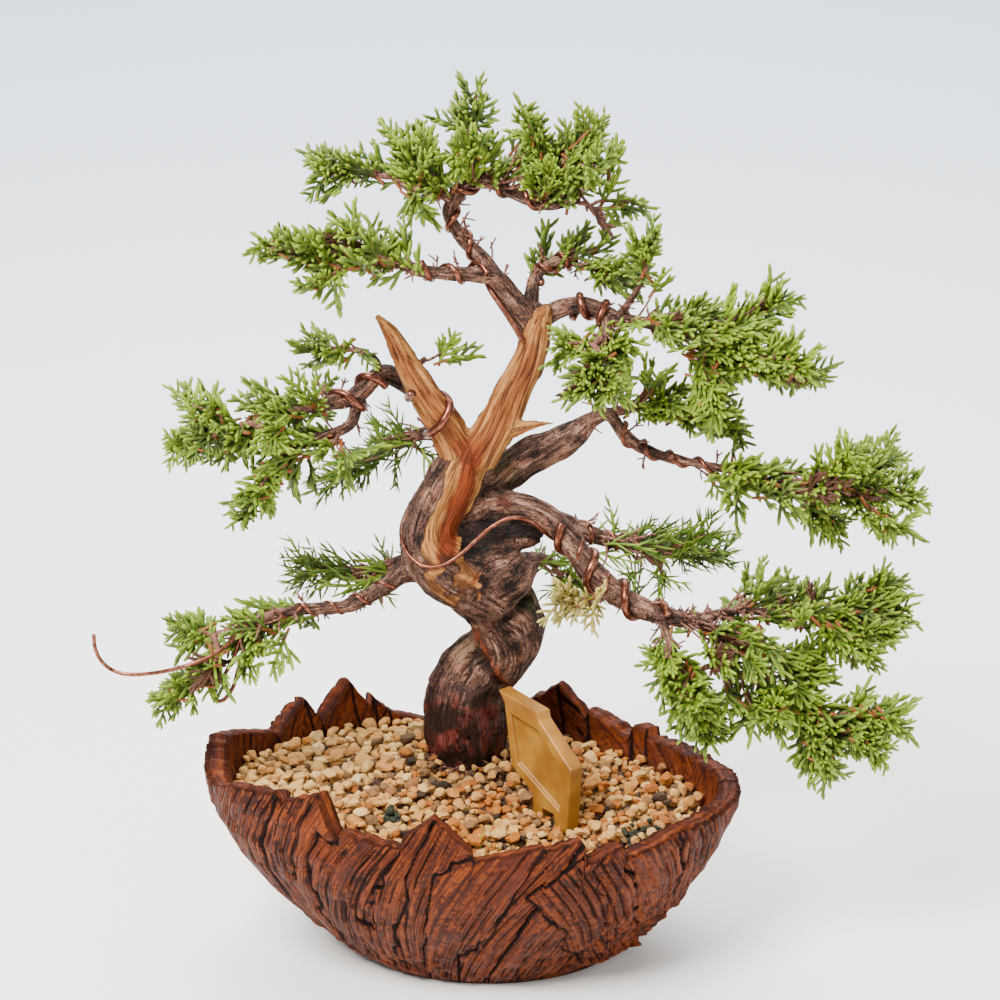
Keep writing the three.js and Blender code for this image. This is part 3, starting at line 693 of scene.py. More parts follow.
class Route:
    """A smooth centre line through points, each with a radius, like the frame's own limbs."""

    def __init__(self, points: Sequence[Vector], radii: Sequence[float]) -> None:
        """Takes the line's samples as they are.

        Args:
            points: The samples, in metres.
            radii: The radius at each.
        """
        self.points = list(points)
        self.radii = list(radii)
        self.at = [0.0]
        for a, b in zip(self.points, self.points[1:]):
            self.at.append(self.at[-1] + (b - a).length)
        self.length = self.at[-1]
        self._turn_frames()

    @classmethod
    def smooth(cls, points: Sequence[Sequence[float]], spacing: float) -> "Route":
        """Draws a smooth line through points and samples it evenly.

        Args:
            points: x, y, z and radius of each point, in metres.
            spacing: The distance between samples.

        Returns:
            The line.
        """
        places = [Vector(p[:3]) for p in points]
        radii = [p[3] for p in points]
        ends = [2 * places[0] - places[1], *places, 2 * places[-1] - places[-2]]
        fine: list[tuple[Vector, float]] = []
        for i in range(len(places) - 1):
            steps = max(4, int((places[i + 1] - places[i]).length / (0.3 * spacing)))
            for k in range(steps):
                share = k / steps
                fine.append((cls._between(ends[i : i + 4], share), mix(radii[i], radii[i + 1], share)))
        fine.append((places[-1], radii[-1]))
        lengths = [0.0]
        for (a, _), (b, _) in zip(fine, fine[1:]):
            lengths.append(lengths[-1] + (b - a).length)
        count = max(3, round(lengths[-1] / spacing) + 1)
        even, thick = [], []
        j = 0
        for i in range(count):
            along = lengths[-1] * i / (count - 1)
            while j < len(fine) - 2 and lengths[j + 1] < along:
                j += 1
            share = clamp((along - lengths[j]) / max(1e-12, lengths[j + 1] - lengths[j]))
            even.append(fine[j][0].lerp(fine[j + 1][0], share))
            thick.append(mix(fine[j][1], fine[j + 1][1], share))
        return cls(even, thick)

    @staticmethod
    def _between(four: Sequence[Vector], share: float) -> Vector:
        """Reads a centripetal Catmull-Rom curve between the middle two of four points.

        Args:
            four: The points.
            share: How far between the second and the third.

        Returns:
            The place on the curve.
        """
        gaps = [max(1e-6, (b - a).length ** 0.5) for a, b in zip(four, four[1:])]
        p0, p1, p2, p3 = four
        t1 = (p1 - p0) / gaps[0] - (p2 - p0) / (gaps[0] + gaps[1]) + (p2 - p1) / gaps[1]
        t2 = (p2 - p1) / gaps[1] - (p3 - p1) / (gaps[1] + gaps[2]) + (p3 - p2) / gaps[2]
        t1, t2 = t1 * gaps[1], t2 * gaps[1]
        a = 2 * p1 - 2 * p2 + t1 + t2
        b = 3 * p2 - 3 * p1 - 2 * t1 - t2
        return p1 + share * (t1 + share * (b + share * a))

    def _turn_frames(self) -> None:
        """Carries a normal along the line without turning it, from the tangent's least axis."""
        self.tangents = []
        for k in range(len(self.points)):
            before, after = self.points[max(0, k - 1)], self.points[min(len(self.points) - 1, k + 1)]
            self.tangents.append((after - before).normalized())
        first = self.tangents[0]
        least = min(range(3), key=lambda axis: (abs(first[axis]), -axis))
        side = first.cross(first.cross(Vector([float(axis == least) for axis in range(3)])))
        self.normals = []
        for tangent in self.tangents:
            side = (side - tangent * side.dot(tangent)).normalized()
            self.normals.append(side.copy())
        self.binormals = [t.cross(n) for t, n in zip(self.tangents, self.normals)]

    def beside(self, k: int, angle: float, reach: float) -> Vector:
        """A point at an angle and a distance beside sample k."""
        spoke = self.normals[k] * math.cos(angle) + self.binormals[k] * math.sin(angle)
        return self.points[k] + spoke * reach


def tube(route: Route, sides: int, reach: Callable[[int, float], float] | None = None) -> BMesh:
    """Sweeps a ring along a route and closes its ends.

    Args:
        route: The centre line and its radii.
        sides: Faces round the tube.
        reach: Gives the distance from the centre line at a sample and an angle.

    Returns:
        The closed tube.
    """
    last = len(route.points) - 1

    def place(column: int, row: int) -> Vector:
        """Places a vertex on its ring, or at one of the two ends.

        Args:
            column: The vertex's number round the tube.
            row: Its ring.

        Returns:
            The place.
        """
        if row == 0:
            return route.points[0]
        if row == last + 2:
            return route.points[last]
        angle = TURN * column / sides
        return route.beside(row - 1, angle, reach(row - 1, angle) if reach else route.radii[row - 1])

    return sheet(sides, last + 2, place)


def join(bm: BMesh, part: BMesh) -> None:
    """Adds one mesh to another and frees it.

    Args:
        bm: The mesh that grows.
        part: The mesh that is added.
    """
    mesh = mesh_of(part, "part")
    bm.from_mesh(mesh)
    bpy.data.meshes.remove(mesh)


def metres(points: Iterable[Sequence[float]]) -> list[tuple[float, ...]]:
    """Turns points in millimetres into metres."""
    return [tuple(value * MM for value in point) for point in points]


# ---- the wood


class Skin(Enum):
    """What covers a limb: live bark all round, or bare wood on its front."""

    BARK = 0
    BARE = 1


@dataclass
class Limb:
    """One limb of the tree: points of x, y, z and radius in millimetres, as in the frame."""

    points: list[tuple[float, float, float, float]]
    skin: Skin = Skin.BARK
    depth: float = 1.0  # how deep its section is, as a share of its width
    ripple: float = 0.0  # how far its three muscles stand out, as a share of its radius
    groove: float = 0.0  # how deep the furrows between its ribs are, as a share of its radius
    ribs: int = 0
    twist: float = 0.0  # radians that the ribs turn over its length

    def route(self, spacing: float) -> Route:
        """The limb's centre line in metres."""
        return Route.smooth(metres(self.points), spacing)

    def reach(self, route: Route, k: int, angle: float) -> float:
        """How far the limb reaches from its centre line.

        Args:
            route: The centre line.
            k: The sample on it.
            angle: The angle round it.

        Returns:
            The reach in metres.
        """
        share = route.at[k] / route.length
        turn = -angle - self.twist * share
        muscle = 1 + self.ripple * math.sin(3 * turn + 7 * share)
        sunk = self.groove * (0.5 - 0.5 * math.cos(self.ribs * turn))
        return route.radii[k] * (muscle - sunk)


STOUT_LIMBS = {
    "trunk": Limb([
        (-3, 32, 30, 13), (-3, 32, 60, 14.5), (-4, 31, 74, 17), (-3, 30, 90, 16), (1, 29, 99, 14.3),
        (9, 27, 107, 13.5), (12, 25, 116, 14.3), (9, 22, 127, 13.5), (0, 16, 138.5, 14.5),
        (-11, 12.5, 147, 13.6), (-17, 13.5, 157, 11.2), (-16, 15, 165, 10.6), (-11, 17, 174, 11),
        (-7, 18, 181, 10.6), (-4, 18, 187, 9.5), (-2, 18, 191, 6.5),
    ], ripple=0.06, groove=0.075, ribs=8, twist=2.2),
    "knuckle": Limb(
        [(0, 17, 141, 11), (8, 18, 143.5, 14.8), (13, 18, 146, 13), (17, 19, 150, 9)],
        groove=0.075, ribs=6, twist=0.4,
    ),
    # a web of wood that fills the gap between the knuckle and the heavy limb; it is painted almost black as
    # shade
    "web": Limb([
        (-9, 19, 161, 7), (0, 19, 158, 8.5), (9, 21, 157, 7.5), (19, 21, 158, 6.5), (25, 20, 160, 4),
    ]),
    "left_snag": Limb([
        (-5, 18, 187, 8), (-11, 16, 201, 7), (-18, 14, 213, 6.2), (-25, 12, 227, 4.5),
        (-30, 10, 238, 3.2), (-35, 8, 245, 1.2),
    ], Skin.BARE, 0.72),
    "right_snag": Limb([
        (0, 18, 187, 8.5), (8, 18, 200, 7.8), (14, 17, 214, 7), (20, 16, 227, 6.2), (23, 16, 238, 5.2),
        (26, 15, 247, 1.6),
    ], Skin.BARE, 0.72),
    "splinter": Limb([(11, 16, 198, 3.6), (20, 13, 202, 2.2), (29, 10, 204, 0.7)], Skin.BARE, 0.6),
    "head": Limb([(20, 19, 222, 5.5), (21, 20, 236, 5), (20, 20, 246, 4)]),
    "stub": Limb([
        (-8, 22, 172, 8), (0, 29, 173, 7.5), (9, 30, 176, 7), (19, 28, 184, 7), (30, 26, 190, 6.5),
        (38, 24, 196, 4.8), (43, 22, 202, 3),
    ], ripple=0.05, groove=0.1, ribs=4, twist=0.7),
    "heavy": Limb([
        (-6, 22, 163, 10), (4, 25, 166, 8), (14, 20, 168, 6), (26, 14, 166, 5), (34, 8, 160, 4.6),
        (43, 2, 149, 4.8), (53, -4, 142, 4.4), (66, -8, 137, 3.6), (81, -12, 135, 2.6),
    ]),
    "upper_left": Limb([
        (-7, 20, 191, 4.5), (-13, 28, 199, 4), (-20, 30, 208, 3.8), (-27, 28, 214, 3.6),
        (-34, 24, 218, 3.5), (-44, 18, 211, 3.3), (-56, 12, 210, 2.5),
    ]),
    "crown_left": Limb([(19, 19, 240, 5), (13, 18, 249, 4.2), (6, 16, 257, 3.2), (-6, 12, 259, 2.6)]),
    "upper_right": Limb([(21, 20, 238, 4), (31, 20, 244, 3.5), (41, 16, 246, 3.2), (50, 12, 243, 2.8)]),
    "low_left": Limb([(-18, 15, 147, 6), (-28, 10, 145, 3.8), (-33, 6, 142, 3.2), (-47, 0, 137, 2.6)]),
    "mid_left": Limb([(-6, 20, 189, 4), (-13, 34, 192, 3.2), (-21, 38, 190, 2.4)]),
    "back_left": Limb([(-16, 16, 148, 5), (-24, 30, 143, 3.6), (-33, 39, 137, 2.8)]),
    "back_low": Limb([(14, 24, 143, 5), (20, 36, 141, 3), (26, 44, 138, 2.2)]),
    "right_back": Limb([(24, 15, 166, 4.5), (33, 25, 160, 3.6), (44, 30, 153, 3.2)]),
}

SLIM_POINTS = {
    "right_middle": [
        (40, 23, 199, 3.2), (48, 20, 204, 2.6), (55, 14, 197, 2.4), (65, 8, 193, 2), (81, 2, 191, 1.6),
        (96, -2, 189, 1.5), (109, -4, 185, 1.1),
    ],
    "heavy_end": [
        (53, -4, 142, 4.2), (66, -8, 137, 3.5), (81, -12, 135, 2.6), (94, -14, 128, 2), (104, -16, 119, 1.4),
    ],
    "crown_left_end": [
        (6, 16, 257, 3), (-6, 12, 259, 2.6), (-18, 8, 261, 2.4), (-30, 4, 266, 2), (-37, 1, 267, 1.4),
    ],
    "apex": [
        (10, 18, 253, 3), (4, 20, 261, 2.6), (-4, 22, 269, 2.6), (-9, 22, 279, 2.6), (-4, 22, 287, 2.5),
        (4, 22, 290, 2.5), (13, 22, 286, 2.3), (25, 20, 282, 1.9), (37, 18, 284, 1.2),
    ],
    "crown_back": [(20, 21, 243, 3), (22, 26, 254, 2.2), (29, 28, 259, 1.9), (37, 30, 258, 1.3)],
    "upper_right_end": [(41, 16, 246, 3), (50, 12, 243, 2.7), (61, 8, 242, 2), (71, 4, 240, 1.4)],
    "upper_left_end": [(-44, 18, 211, 3.1), (-56, 12, 210, 2.5), (-68, 8, 208, 1.6)],
    "upper_left_fork": [(-42, 19, 212, 2.5), (-45, 14, 202, 2), (-56, 8, 199, 1.8), (-66, 5, 195, 1.3)],
    "mid_left_end": [(-13, 34, 192, 3), (-21, 38, 190, 2.4), (-30, 42, 184, 1.5)],
    "low_left_end": [
        (-33, 6, 142, 3.1), (-47, 0, 137, 2.6), (-64, -4, 137, 2.2), (-79, -10, 135, 1.8),
        (-86, -13, 132, 1.3),
    ],
    "back_left_end": [(-24, 30, 143, 3.4), (-33, 39, 137, 2.8), (-41, 44, 133, 1.6)],
    "back_low_end": [(20, 36, 141, 2.9), (26, 44, 138, 2.2), (30, 48, 135, 1.4)],
    "right_back_end": [(33, 25, 160, 3.4), (44, 30, 153, 3.2), (55, 34, 148, 2.6), (64, 39, 144, 1.8)],
    "crown_twig_left": [(-7, 22, 283, 1.8), (-14, 20, 287, 1.5), (-19, 18, 290, 1.1)],
    "crown_twig_middle": [(0, 22, 289, 1.8), (-1, 22, 295, 1.4), (-2, 23, 299, 1.1)],
    "crown_twig_right": [(22, 21, 283, 1.8), (26, 20, 289, 1.4), (28, 20, 294, 1.1)],
    "front_twig": [(46, 14, 244, 2.2), (47, 6, 241, 1.8), (46, -2, 239, 1.2)],
    "inner_right_twig": [(47, 20, 204, 2.2), (57, 20, 206, 1.6), (64, 19, 207, 1.2)],
    "low_right_twig": [(78, -11, 135, 2.2), (94, -10, 139, 1.6), (112, -8, 137, 1.1)],
    "inner_low_twig": [(67, -8, 137, 2.2), (70, -15, 130, 1.7), (72, -20, 124, 1.1)],
    "top_twig": [(-34, 23, 218, 1.8), (-36, 20, 225, 1.3), (-40, 18, 228, 1)],
    "fork_twig": [(-25, 28, 213, 1.8), (-22, 28, 219, 1.3), (-18, 26, 223, 1)],
    "pale_twig": [(54, -3, 142, 2.2), (50, -7, 144, 1.4), (47, -9, 144, 1)],
    "upright_twig": [(51, 11, 243, 1.8), (56, 9, 251, 1.2), (59, 7, 257, 1)],
}

SLIM_LIMBS = {name: Limb(points) for name, points in SLIM_POINTS.items()}
BARE_LIMBS = {name for name, limb in STOUT_LIMBS.items() if limb.skin is Skin.BARE}
WOOD_MARKS = ("crevice", "damp", "moss", "rust", "bare", "heart", "scar", "painted_shade", "old")
FrontLine = tuple[tuple[float, float], ...]  # x and z in millimetres, as seen from the front


@dataclass
class Grain:
    """Where a point lies on a limb: round it, along it, and how it faces."""

    limb: str
    around: float  # angle, with the limb's slow twist
    along: float
    radius: float
    facing: float  # 1 where the limb's surface faces the front
    up: float  # 1 where it faces up

    def coordinates(self) -> Vector:
        """A place in a space where the limb is straight, in metres."""
        return Vector((math.cos(self.around) * self.radius, math.sin(self.around) * self.radius, self.along))


@dataclass
class BarkRelief:
    """The relief of bark and bare wood, in metres, with the marks that its finish reads."""

    plate_width: float = 3.4 * MM
    plate_length: float = 24 * MM
    furrow_width: float = 1.9 * MM  # of bare wood
    furrow_length: float = 34 * MM
    fissure: float = 0.8 * MM
    flake: float = 0.3 * MM
    lump: float = 1.0 * MM
    furrow: float = 0.8 * MM
    sunk: float = 0.7 * MM  # how far bare wood lies below the bark
    pit: float = 1.2 * MM  # depth of the scar and of the hollow
    crease: float = 1.6 * MM
    full_size: float = 9 * MM  # radius of a limb from which its relief is full
    heart_scale: tuple[float, float, float] = (260, 260, 26)  # streaks to a metre, across and along
    strip: FrontLine = (
        (-1.1, 194), (-4.8, 177.4), (-11, 162.7), (-12.1, 157.8), (-11.8, 152.1), (-8.8, 146.3),
        (-4.2, 142.6),
    )
    strip_width: float = 7.4 * MM  # from its middle to its edge
    strip_edge: float = 0.8 * MM  # how soft its edge is
    core: tuple[FrontLine, ...] = (
        ((-10.4, 155.4), (-9.1, 162.7), (-3.7, 177.4), (-0.2, 191), (9.7, 208.5), (15.7, 218), (21, 231)),
        ((-1.4, 188.2), (-4.8, 194.6), (-17.6, 213), (-22, 220), (-28, 232)),
    )
    core_width: float = 3.9 * MM  # from its middle to where it fades
    core_fade: tuple[float, float] = (188 * MM, 206 * MM)  # heights between which it pales
    old_foot: tuple[float, float] = (160 * MM, 149 * MM)  # heights between which the strip turns brown
    seam: FrontLine = ((-1.4, 144.2), (1.2, 146.7), (3.9, 149.6))
    seam_edge: tuple[float, float] = (0.4 * MM, 1.4 * MM)
    creases: tuple[FrontLine, ...] = (
        ((-18, 135.6), (-5.2, 128.7), (6.1, 125.8), (16.5, 129.6), (22.1, 136.4), (25, 142)),
        ((-8, 116), (-4.5, 113.9), (1.2, 109.6), (6, 102.8), (9.3, 97.6)),
    )
    crease_edge: tuple[float, float] = (0.4 * MM, 2.8 * MM)
    rust: FrontLine = ((-3, 123), (4, 111), (10, 99))
    rust_edge: tuple[float, float] = (0.5 * MM, 4 * MM)
    front: float = 21 * MM  # lines seen from the front are drawn on what lies before this depth
    scar_centre: Vector = field(default_factory=lambda: Vector((10, 14, 173)) * MM)
    scar_radius: float = 5.5 * MM
    hollow_centre: Vector = field(default_factory=lambda: Vector((-1, 8, 160)) * MM)
    hollow_radius: float = 10 * MM
    shade_right: float = 26 * MM  # how far right the limbs' undersides get painted shade
    damp_foot: tuple[float, float] = (84 * MM, 106 * MM)  # heights between which the trunk dries
    mossy: tuple[tuple[float, float, float, float], ...] = (
        (-7.5, 20, 113, 10), (24, 18, 131, 9), (3, 3, 158, 5), (12, 27, 180, 8)
    )

    def marks(self, place: Vector, grain: Grain) -> dict[str, float]:
        """Says how bare, damp or mossy the wood is at a place, and how much painted shade it gets.

        Args:
            place: The place.
            grain: Where it lies on its limb.

        Returns:
            Each mark, from 0 to 1.
        """
        wobble = noise.noise(place / (6 * MM)) * 0.5 + noise.noise(place / (2.2 * MM)) * 0.2
        bare, heart = self._bared(place, grain, wobble)
        old = bare * smoothstep(*self.old_foot, place.z)
        bare *= 1 - old * smoothstep(-0.12, 0.12, wobble)
        damp = rust = crease = 0.0
        if place.y < self.front:
            seam = self._from_line(place, self.seam) + 2.2 * MM * wobble
            torn = 1 - smoothstep(*self.seam_edge, seam)
            bare = max(bare, torn)
            heart = max(heart, 0.75 * torn)
            creases = (self._from_line(place, line) for line in self.creases)
            crease = max(1 - smoothstep(*self.crease_edge, away) for away in creases)
            rust = 1 - smoothstep(*self.rust_edge, self._from_line(place, self.rust) + 2 * MM * wobble)
        scar = 1 - smoothstep(0.55, 1.0, (place - self.scar_centre).length / self.scar_radius + 0.7 * wobble)
        if grain.limb in ("trunk", "knuckle"):
            damp = 1 - smoothstep(*self.damp_foot, place.z + 12 * MM * wobble)
        moss = max(1 - (place - Vector(m[:3]) * MM).length / (m[3] * MM) for m in self.mossy)
        # painted shade in the hollow, the web and the undersides, but not on bare wood
        painted_shade = 0.0 if bare > 0.5 else self._painted_shade_at(place, grain, wobble)
        # the creases get painted shade too
        return {
            "bare": bare, "heart": heart, "scar": scar, "painted_shade": max(painted_shade, 0.75 * crease),
            "damp": clamp(damp), "moss": clamp(1.6 * moss), "rust": clamp(rust), "crease": crease, "old": old,
        }

    def _bared(self, place: Vector, grain: Grain, wobble: float) -> tuple[float, float]:
        """Says how bare the wood is, and how near its red heart.

        Args:
            place: The place.
            grain: Where it lies on its limb.
            wobble: What makes the edges ragged.

        Returns:
            How bare it is, and how red.
        """
        bare = heart = 0.0
        if grain.limb in BARE_LIMBS:
            bare = smoothstep(-0.2, 0.05, grain.facing + 0.45 * wobble)
            streak = Vector([a * b for a, b in zip(grain.coordinates(), self.heart_scale)])
            heart = 0.6 * smoothstep(0.05, 0.35, noise.noise(streak))
        elif grain.limb in ("trunk", "knuckle") and place.y < self.front:
            edge = self._from_line(place, self.strip) + 3 * MM * wobble - self.strip_width
            bare = smoothstep(self.strip_edge, -self.strip_edge, edge) * smoothstep(-0.1, 0.2, grain.facing)
        if bare > 0:
            core = min(self._from_line(place, line) for line in self.core) + 2.5 * MM * wobble
            fade = smoothstep(*self.core_fade, place.z)
            width = self.core_width * mix(1.0, 0.7, fade)
            heart = max(heart, mix(1.0, 0.55, fade) * smoothstep(1.25, 0.6, core / width))
        return bare, heart

    def _painted_shade_at(self, place: Vector, grain: Grain, wobble: float) -> float:
        """Says how much painted shade darkens the hollow, the web and the limbs' undersides.

        Args:
            place: The place.
            grain: Where it lies on its limb.
            wobble: What makes the edges ragged.

        Returns:
            How dark it is.
        """
        # the web is painted almost black all over as shade
        if grain.limb == "web":
            return 0.9
        away = (place - self.hollow_centre).length / self.hollow_radius
        painted_shade = 1 - smoothstep(0.6, 1.05, away + 0.2 * wobble)
        # painted shade on the undersides of the heavy limb and the stub, fading out to the right
        if grain.limb in ("heavy", "stub"):
            under = smoothstep(0.1, -0.5, grain.up + 0.4 * wobble)
            painted_shade = max(painted_shade, 0.85 * smoothstep(self.shade_right, 0.0, place.x) * under)
        return painted_shade

    @staticmethod
    def _from_line(place: Vector, line: FrontLine) -> float:
        """How far a place lies from a line, seen from the front.

        Args:
            place: The place.
            line: The line.

        Returns:
            The distance in metres.
        """
        best = 1.0
        for (x0, z0), (x1, z1) in zip(line, line[1:]):
            start, step = Vector((x0, z0)) * MM, Vector((x1 - x0, z1 - z0)) * MM
            offset = Vector((place.x, place.z)) - start
            share = clamp(offset.dot(step) / step.length_squared)
            best = min(best, (offset - step * share).length)
        return best

    def height(self, place: Vector, grain: Grain, marks: dict[str, float]) -> tuple[float, float]:
        """Works out the relief at a place.

        Args:
            place: The place.
            grain: Where it lies on its limb.
            marks: The marks there.

        Returns:
            How far the surface rises, and how deep in a crevice it is, from 0 to 1.
        """
        q = grain.coordinates()
        warp = noise.noise_vector(place / (14 * MM)) * 0.35
        size = clamp(grain.radius / self.full_size, 0.3, 1.0)
        width = self.plate_width * mix(0.45, 1.0, size)
        across = Vector((q.x / width, q.y / width, q.z / (self.plate_length * mix(0.5, 1, size)))) + warp
        open_here = smoothstep(-0.1, 0.25, noise.noise(place / (6 * MM) + Vector((9, 2, 4))))
        plates = 1 - (1 - smoothstep(0.0, 0.11, abs(noise.noise(across)))) * mix(0.25, 1.0, open_here)
        flakes = smoothstep(0.0, 0.16, abs(noise.noise(across * 2.2 + Vector((7, 3, 1)))))
        lumps = self.lump * noise.noise(place / (8 * MM))
        bark = -self.fissure * (1 - plates) - self.flake * (1 - flakes) + lumps
        streak = Vector((q.x / self.furrow_width, q.y / self.furrow_width, q.z / self.furrow_length))
        furrows = noise.noise(streak) + 0.5 * noise.noise(streak * 2.3)
        wood = self.furrow * furrows - self.sunk
        bare = marks["bare"]
        crevice = mix(0.9 * (1 - plates) + 0.3 * (1 - flakes), smoothstep(0.25, 0.8, -furrows), bare)
        rise = mix(bark * size, wood * clamp(size * 1.4), bare)
        # the painted shade's mask also sinks the surface, as deep as a pit
        rise -= (marks["scar"] + marks["painted_shade"]) * self.pit + marks["crease"] * self.crease
        return rise, clamp(crevice)


@dataclass
class Wood:
    """The tree's wood: a remeshed trunk with its stout limbs, and the slim limbs set into it."""

    finish: WoodFinish = field(default_factory=WoodFinish)
    relief: BarkRelief = field(default_factory=BarkRelief)
    voxel: float = 0.68 * MM
    twist: float = 11.0  # radians a metre that the grain turns round a limb
    stout_sides: int = 32
    slim_sides: int = 14
    spacing: tuple[float, float] = (2 * MM, 0.7 * MM)  # between samples of stout and slim limbs
    softening: int = 5  # rounds of smoothing over the joins
    knot_gap: float = 5 * MM
    knot_swell: float = 0.12  # of a slim limb's radius

    def build(self) -> None:
        """Builds both pieces of the wood."""
        material = self.finish.material()
        for name, wood in (("tree_trunk", self._stout()), ("tree_branches", self._slim())):
            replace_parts(new_piece(name, wood, "bark", material), "tree")

    def _stout(self) -> BMesh:
        """Joins the stout limbs by a remesh and carves their relief.

        Returns:
            The mesh.
        """
        routes = {name: limb.route(self.spacing[0]) for name, limb in STOUT_LIMBS.items()}
        joined = bmesh.new()
        for name, route in routes.items():
            limb = STOUT_LIMBS[name]
            part = tube(route, self.stout_sides, partial(limb.reach, route))
            if limb.depth < 1:
                self._flatten(part, route, limb.depth)
            join(joined, part)
        bm = self._remeshed(joined)
        axes = {"use_axis_x": True, "use_axis_y": True, "use_axis_z": True}
        for _ in range(self.softening):
            bmesh.ops.smooth_vert(bm, verts=bm.verts, factor=0.5, **axes)
        self._carve(bm, routes)
        return bm

    @staticmethod
    def _flatten(part: BMesh, route: Route, depth: float) -> None:
        """Makes a limb's section less deep than wide, as the frame's is.

        Args:
            part: The limb's tube.
            route: Its centre line.
            depth: The share of its depth that stays.
        """
        tree = near_tree(route.points)
        for vert in part.verts:
            middle = tree.find(vert.co)[0].y
            vert.co.y = middle + (vert.co.y - middle) * depth

    def _remeshed(self, joined: BMesh) -> BMesh:
        """Fuses overlapping closed tubes into one skin of even quads.

        Args:
            joined: The tubes, which are freed.

        Returns:
            The skin.
        """
        mesh = mesh_of(joined, "joined")
        source = placed("joined", mesh)
        remesh = source.modifiers.new("Fuse", "REMESH")
        remesh.mode = "VOXEL"
        remesh.voxel_size = self.voxel
        evaluated = source.evaluated_get(bpy.context.evaluated_depsgraph_get())
        bm = bmesh.new()
        bm.from_mesh(evaluated.to_mesh())
        evaluated.to_mesh_clear()
        bpy.data.objects.remove(source)
        bpy.data.meshes.remove(mesh)
        return bm

    def _carve(self, bm: BMesh, routes: dict[str, Route]) -> None:
        """Moves each vertex by the relief and writes the marks for the finish.

        Args:
            bm: The wood's mesh.
            routes: The centre line of each limb in it.
        """
        samples = [(name, k) for name, route in routes.items() for k in range(len(route.points))]
        tree = near_tree([routes[name].points[k] for name, k in samples])
        bm.normal_update()
        layers = {mark: bm.verts.layers.float.new(mark) for mark in WOOD_MARKS}
        grain_layer = bm.verts.layers.float_vector.new("grain")
        moved = []
        for vert in bm.verts:
            near = tree.find_n(vert.co, 14)
            _, i, _ = min(near, key=lambda n: n[2] - routes[samples[n[1]][0]].radii[samples[n[1]][1]])
            name, k = samples[i]
            grain = self._grain(name, routes[name], k, vert.co)
            moved.append((vert, self._mark(vert, grain, layers, grain_layer)))
        for vert, rise in moved:
            vert.co += vert.normal * rise

    def _grain(self, name: str, route: Route, k: int, place: Vector) -> Grain:
        """Finds where a place lies on a limb.

        Args:
            name: The limb's name.
            route: Its centre line.
            k: The sample that the place is nearest.
            place: The place.

        Returns:
            The place on the limb.
        """
        offset = place - route.points[k]
        along = route.at[k] + offset.dot(route.tangents[k])
        around = math.atan2(offset.dot(route.binormals[k]), offset.dot(route.normals[k]))
        spoke = offset - route.tangents[k] * offset.dot(route.tangents[k])
        out = spoke.normalized() if spoke.length > 0 else FRONT
        return Grain(name, around + self.twist * along, along, route.radii[k], out.dot(FRONT), out.z)

    def _mark(self, vert: bmesh.types.BMVert, grain: Grain, layers: dict, grain_layer: object) -> float:
        """Writes a vertex's marks.

        Args:
            vert: The vertex.
            grain: Where it lies on its limb.
            layers: The layer of each mark.
            grain_layer: The layer of its place in straightened wood.

        Returns:
            How far the vertex rises.
        """
        marks = self.relief.marks(vert.co, grain)
        rise, marks["crevice"] = self.relief.height(vert.co, grain, marks)
        for mark, layer in layers.items():
            vert[layer] = marks[mark]
        vert[grain_layer] = grain.coordinates()
        return rise

    def _slim(self) -> BMesh:
        """Sweeps each slim limb finely, carves it and adds it.

        Returns:
            The mesh.
        """
        bm = bmesh.new()
        for name, limb in SLIM_LIMBS.items():
            route = limb.route(self.spacing[1])
            phase = Random(name).uniform(0, 9)
            for k, radius in enumerate(route.radii):
                swell = noise.noise(Vector((phase, 0, route.at[k] / self.knot_gap)))
                route.radii[k] = radius * (1 + self.knot_swell * swell)
            part = tube(route, self.slim_sides)
            self._carve(part, {name: route})
            join(bm, part)
        return bm


# ---- the training wires


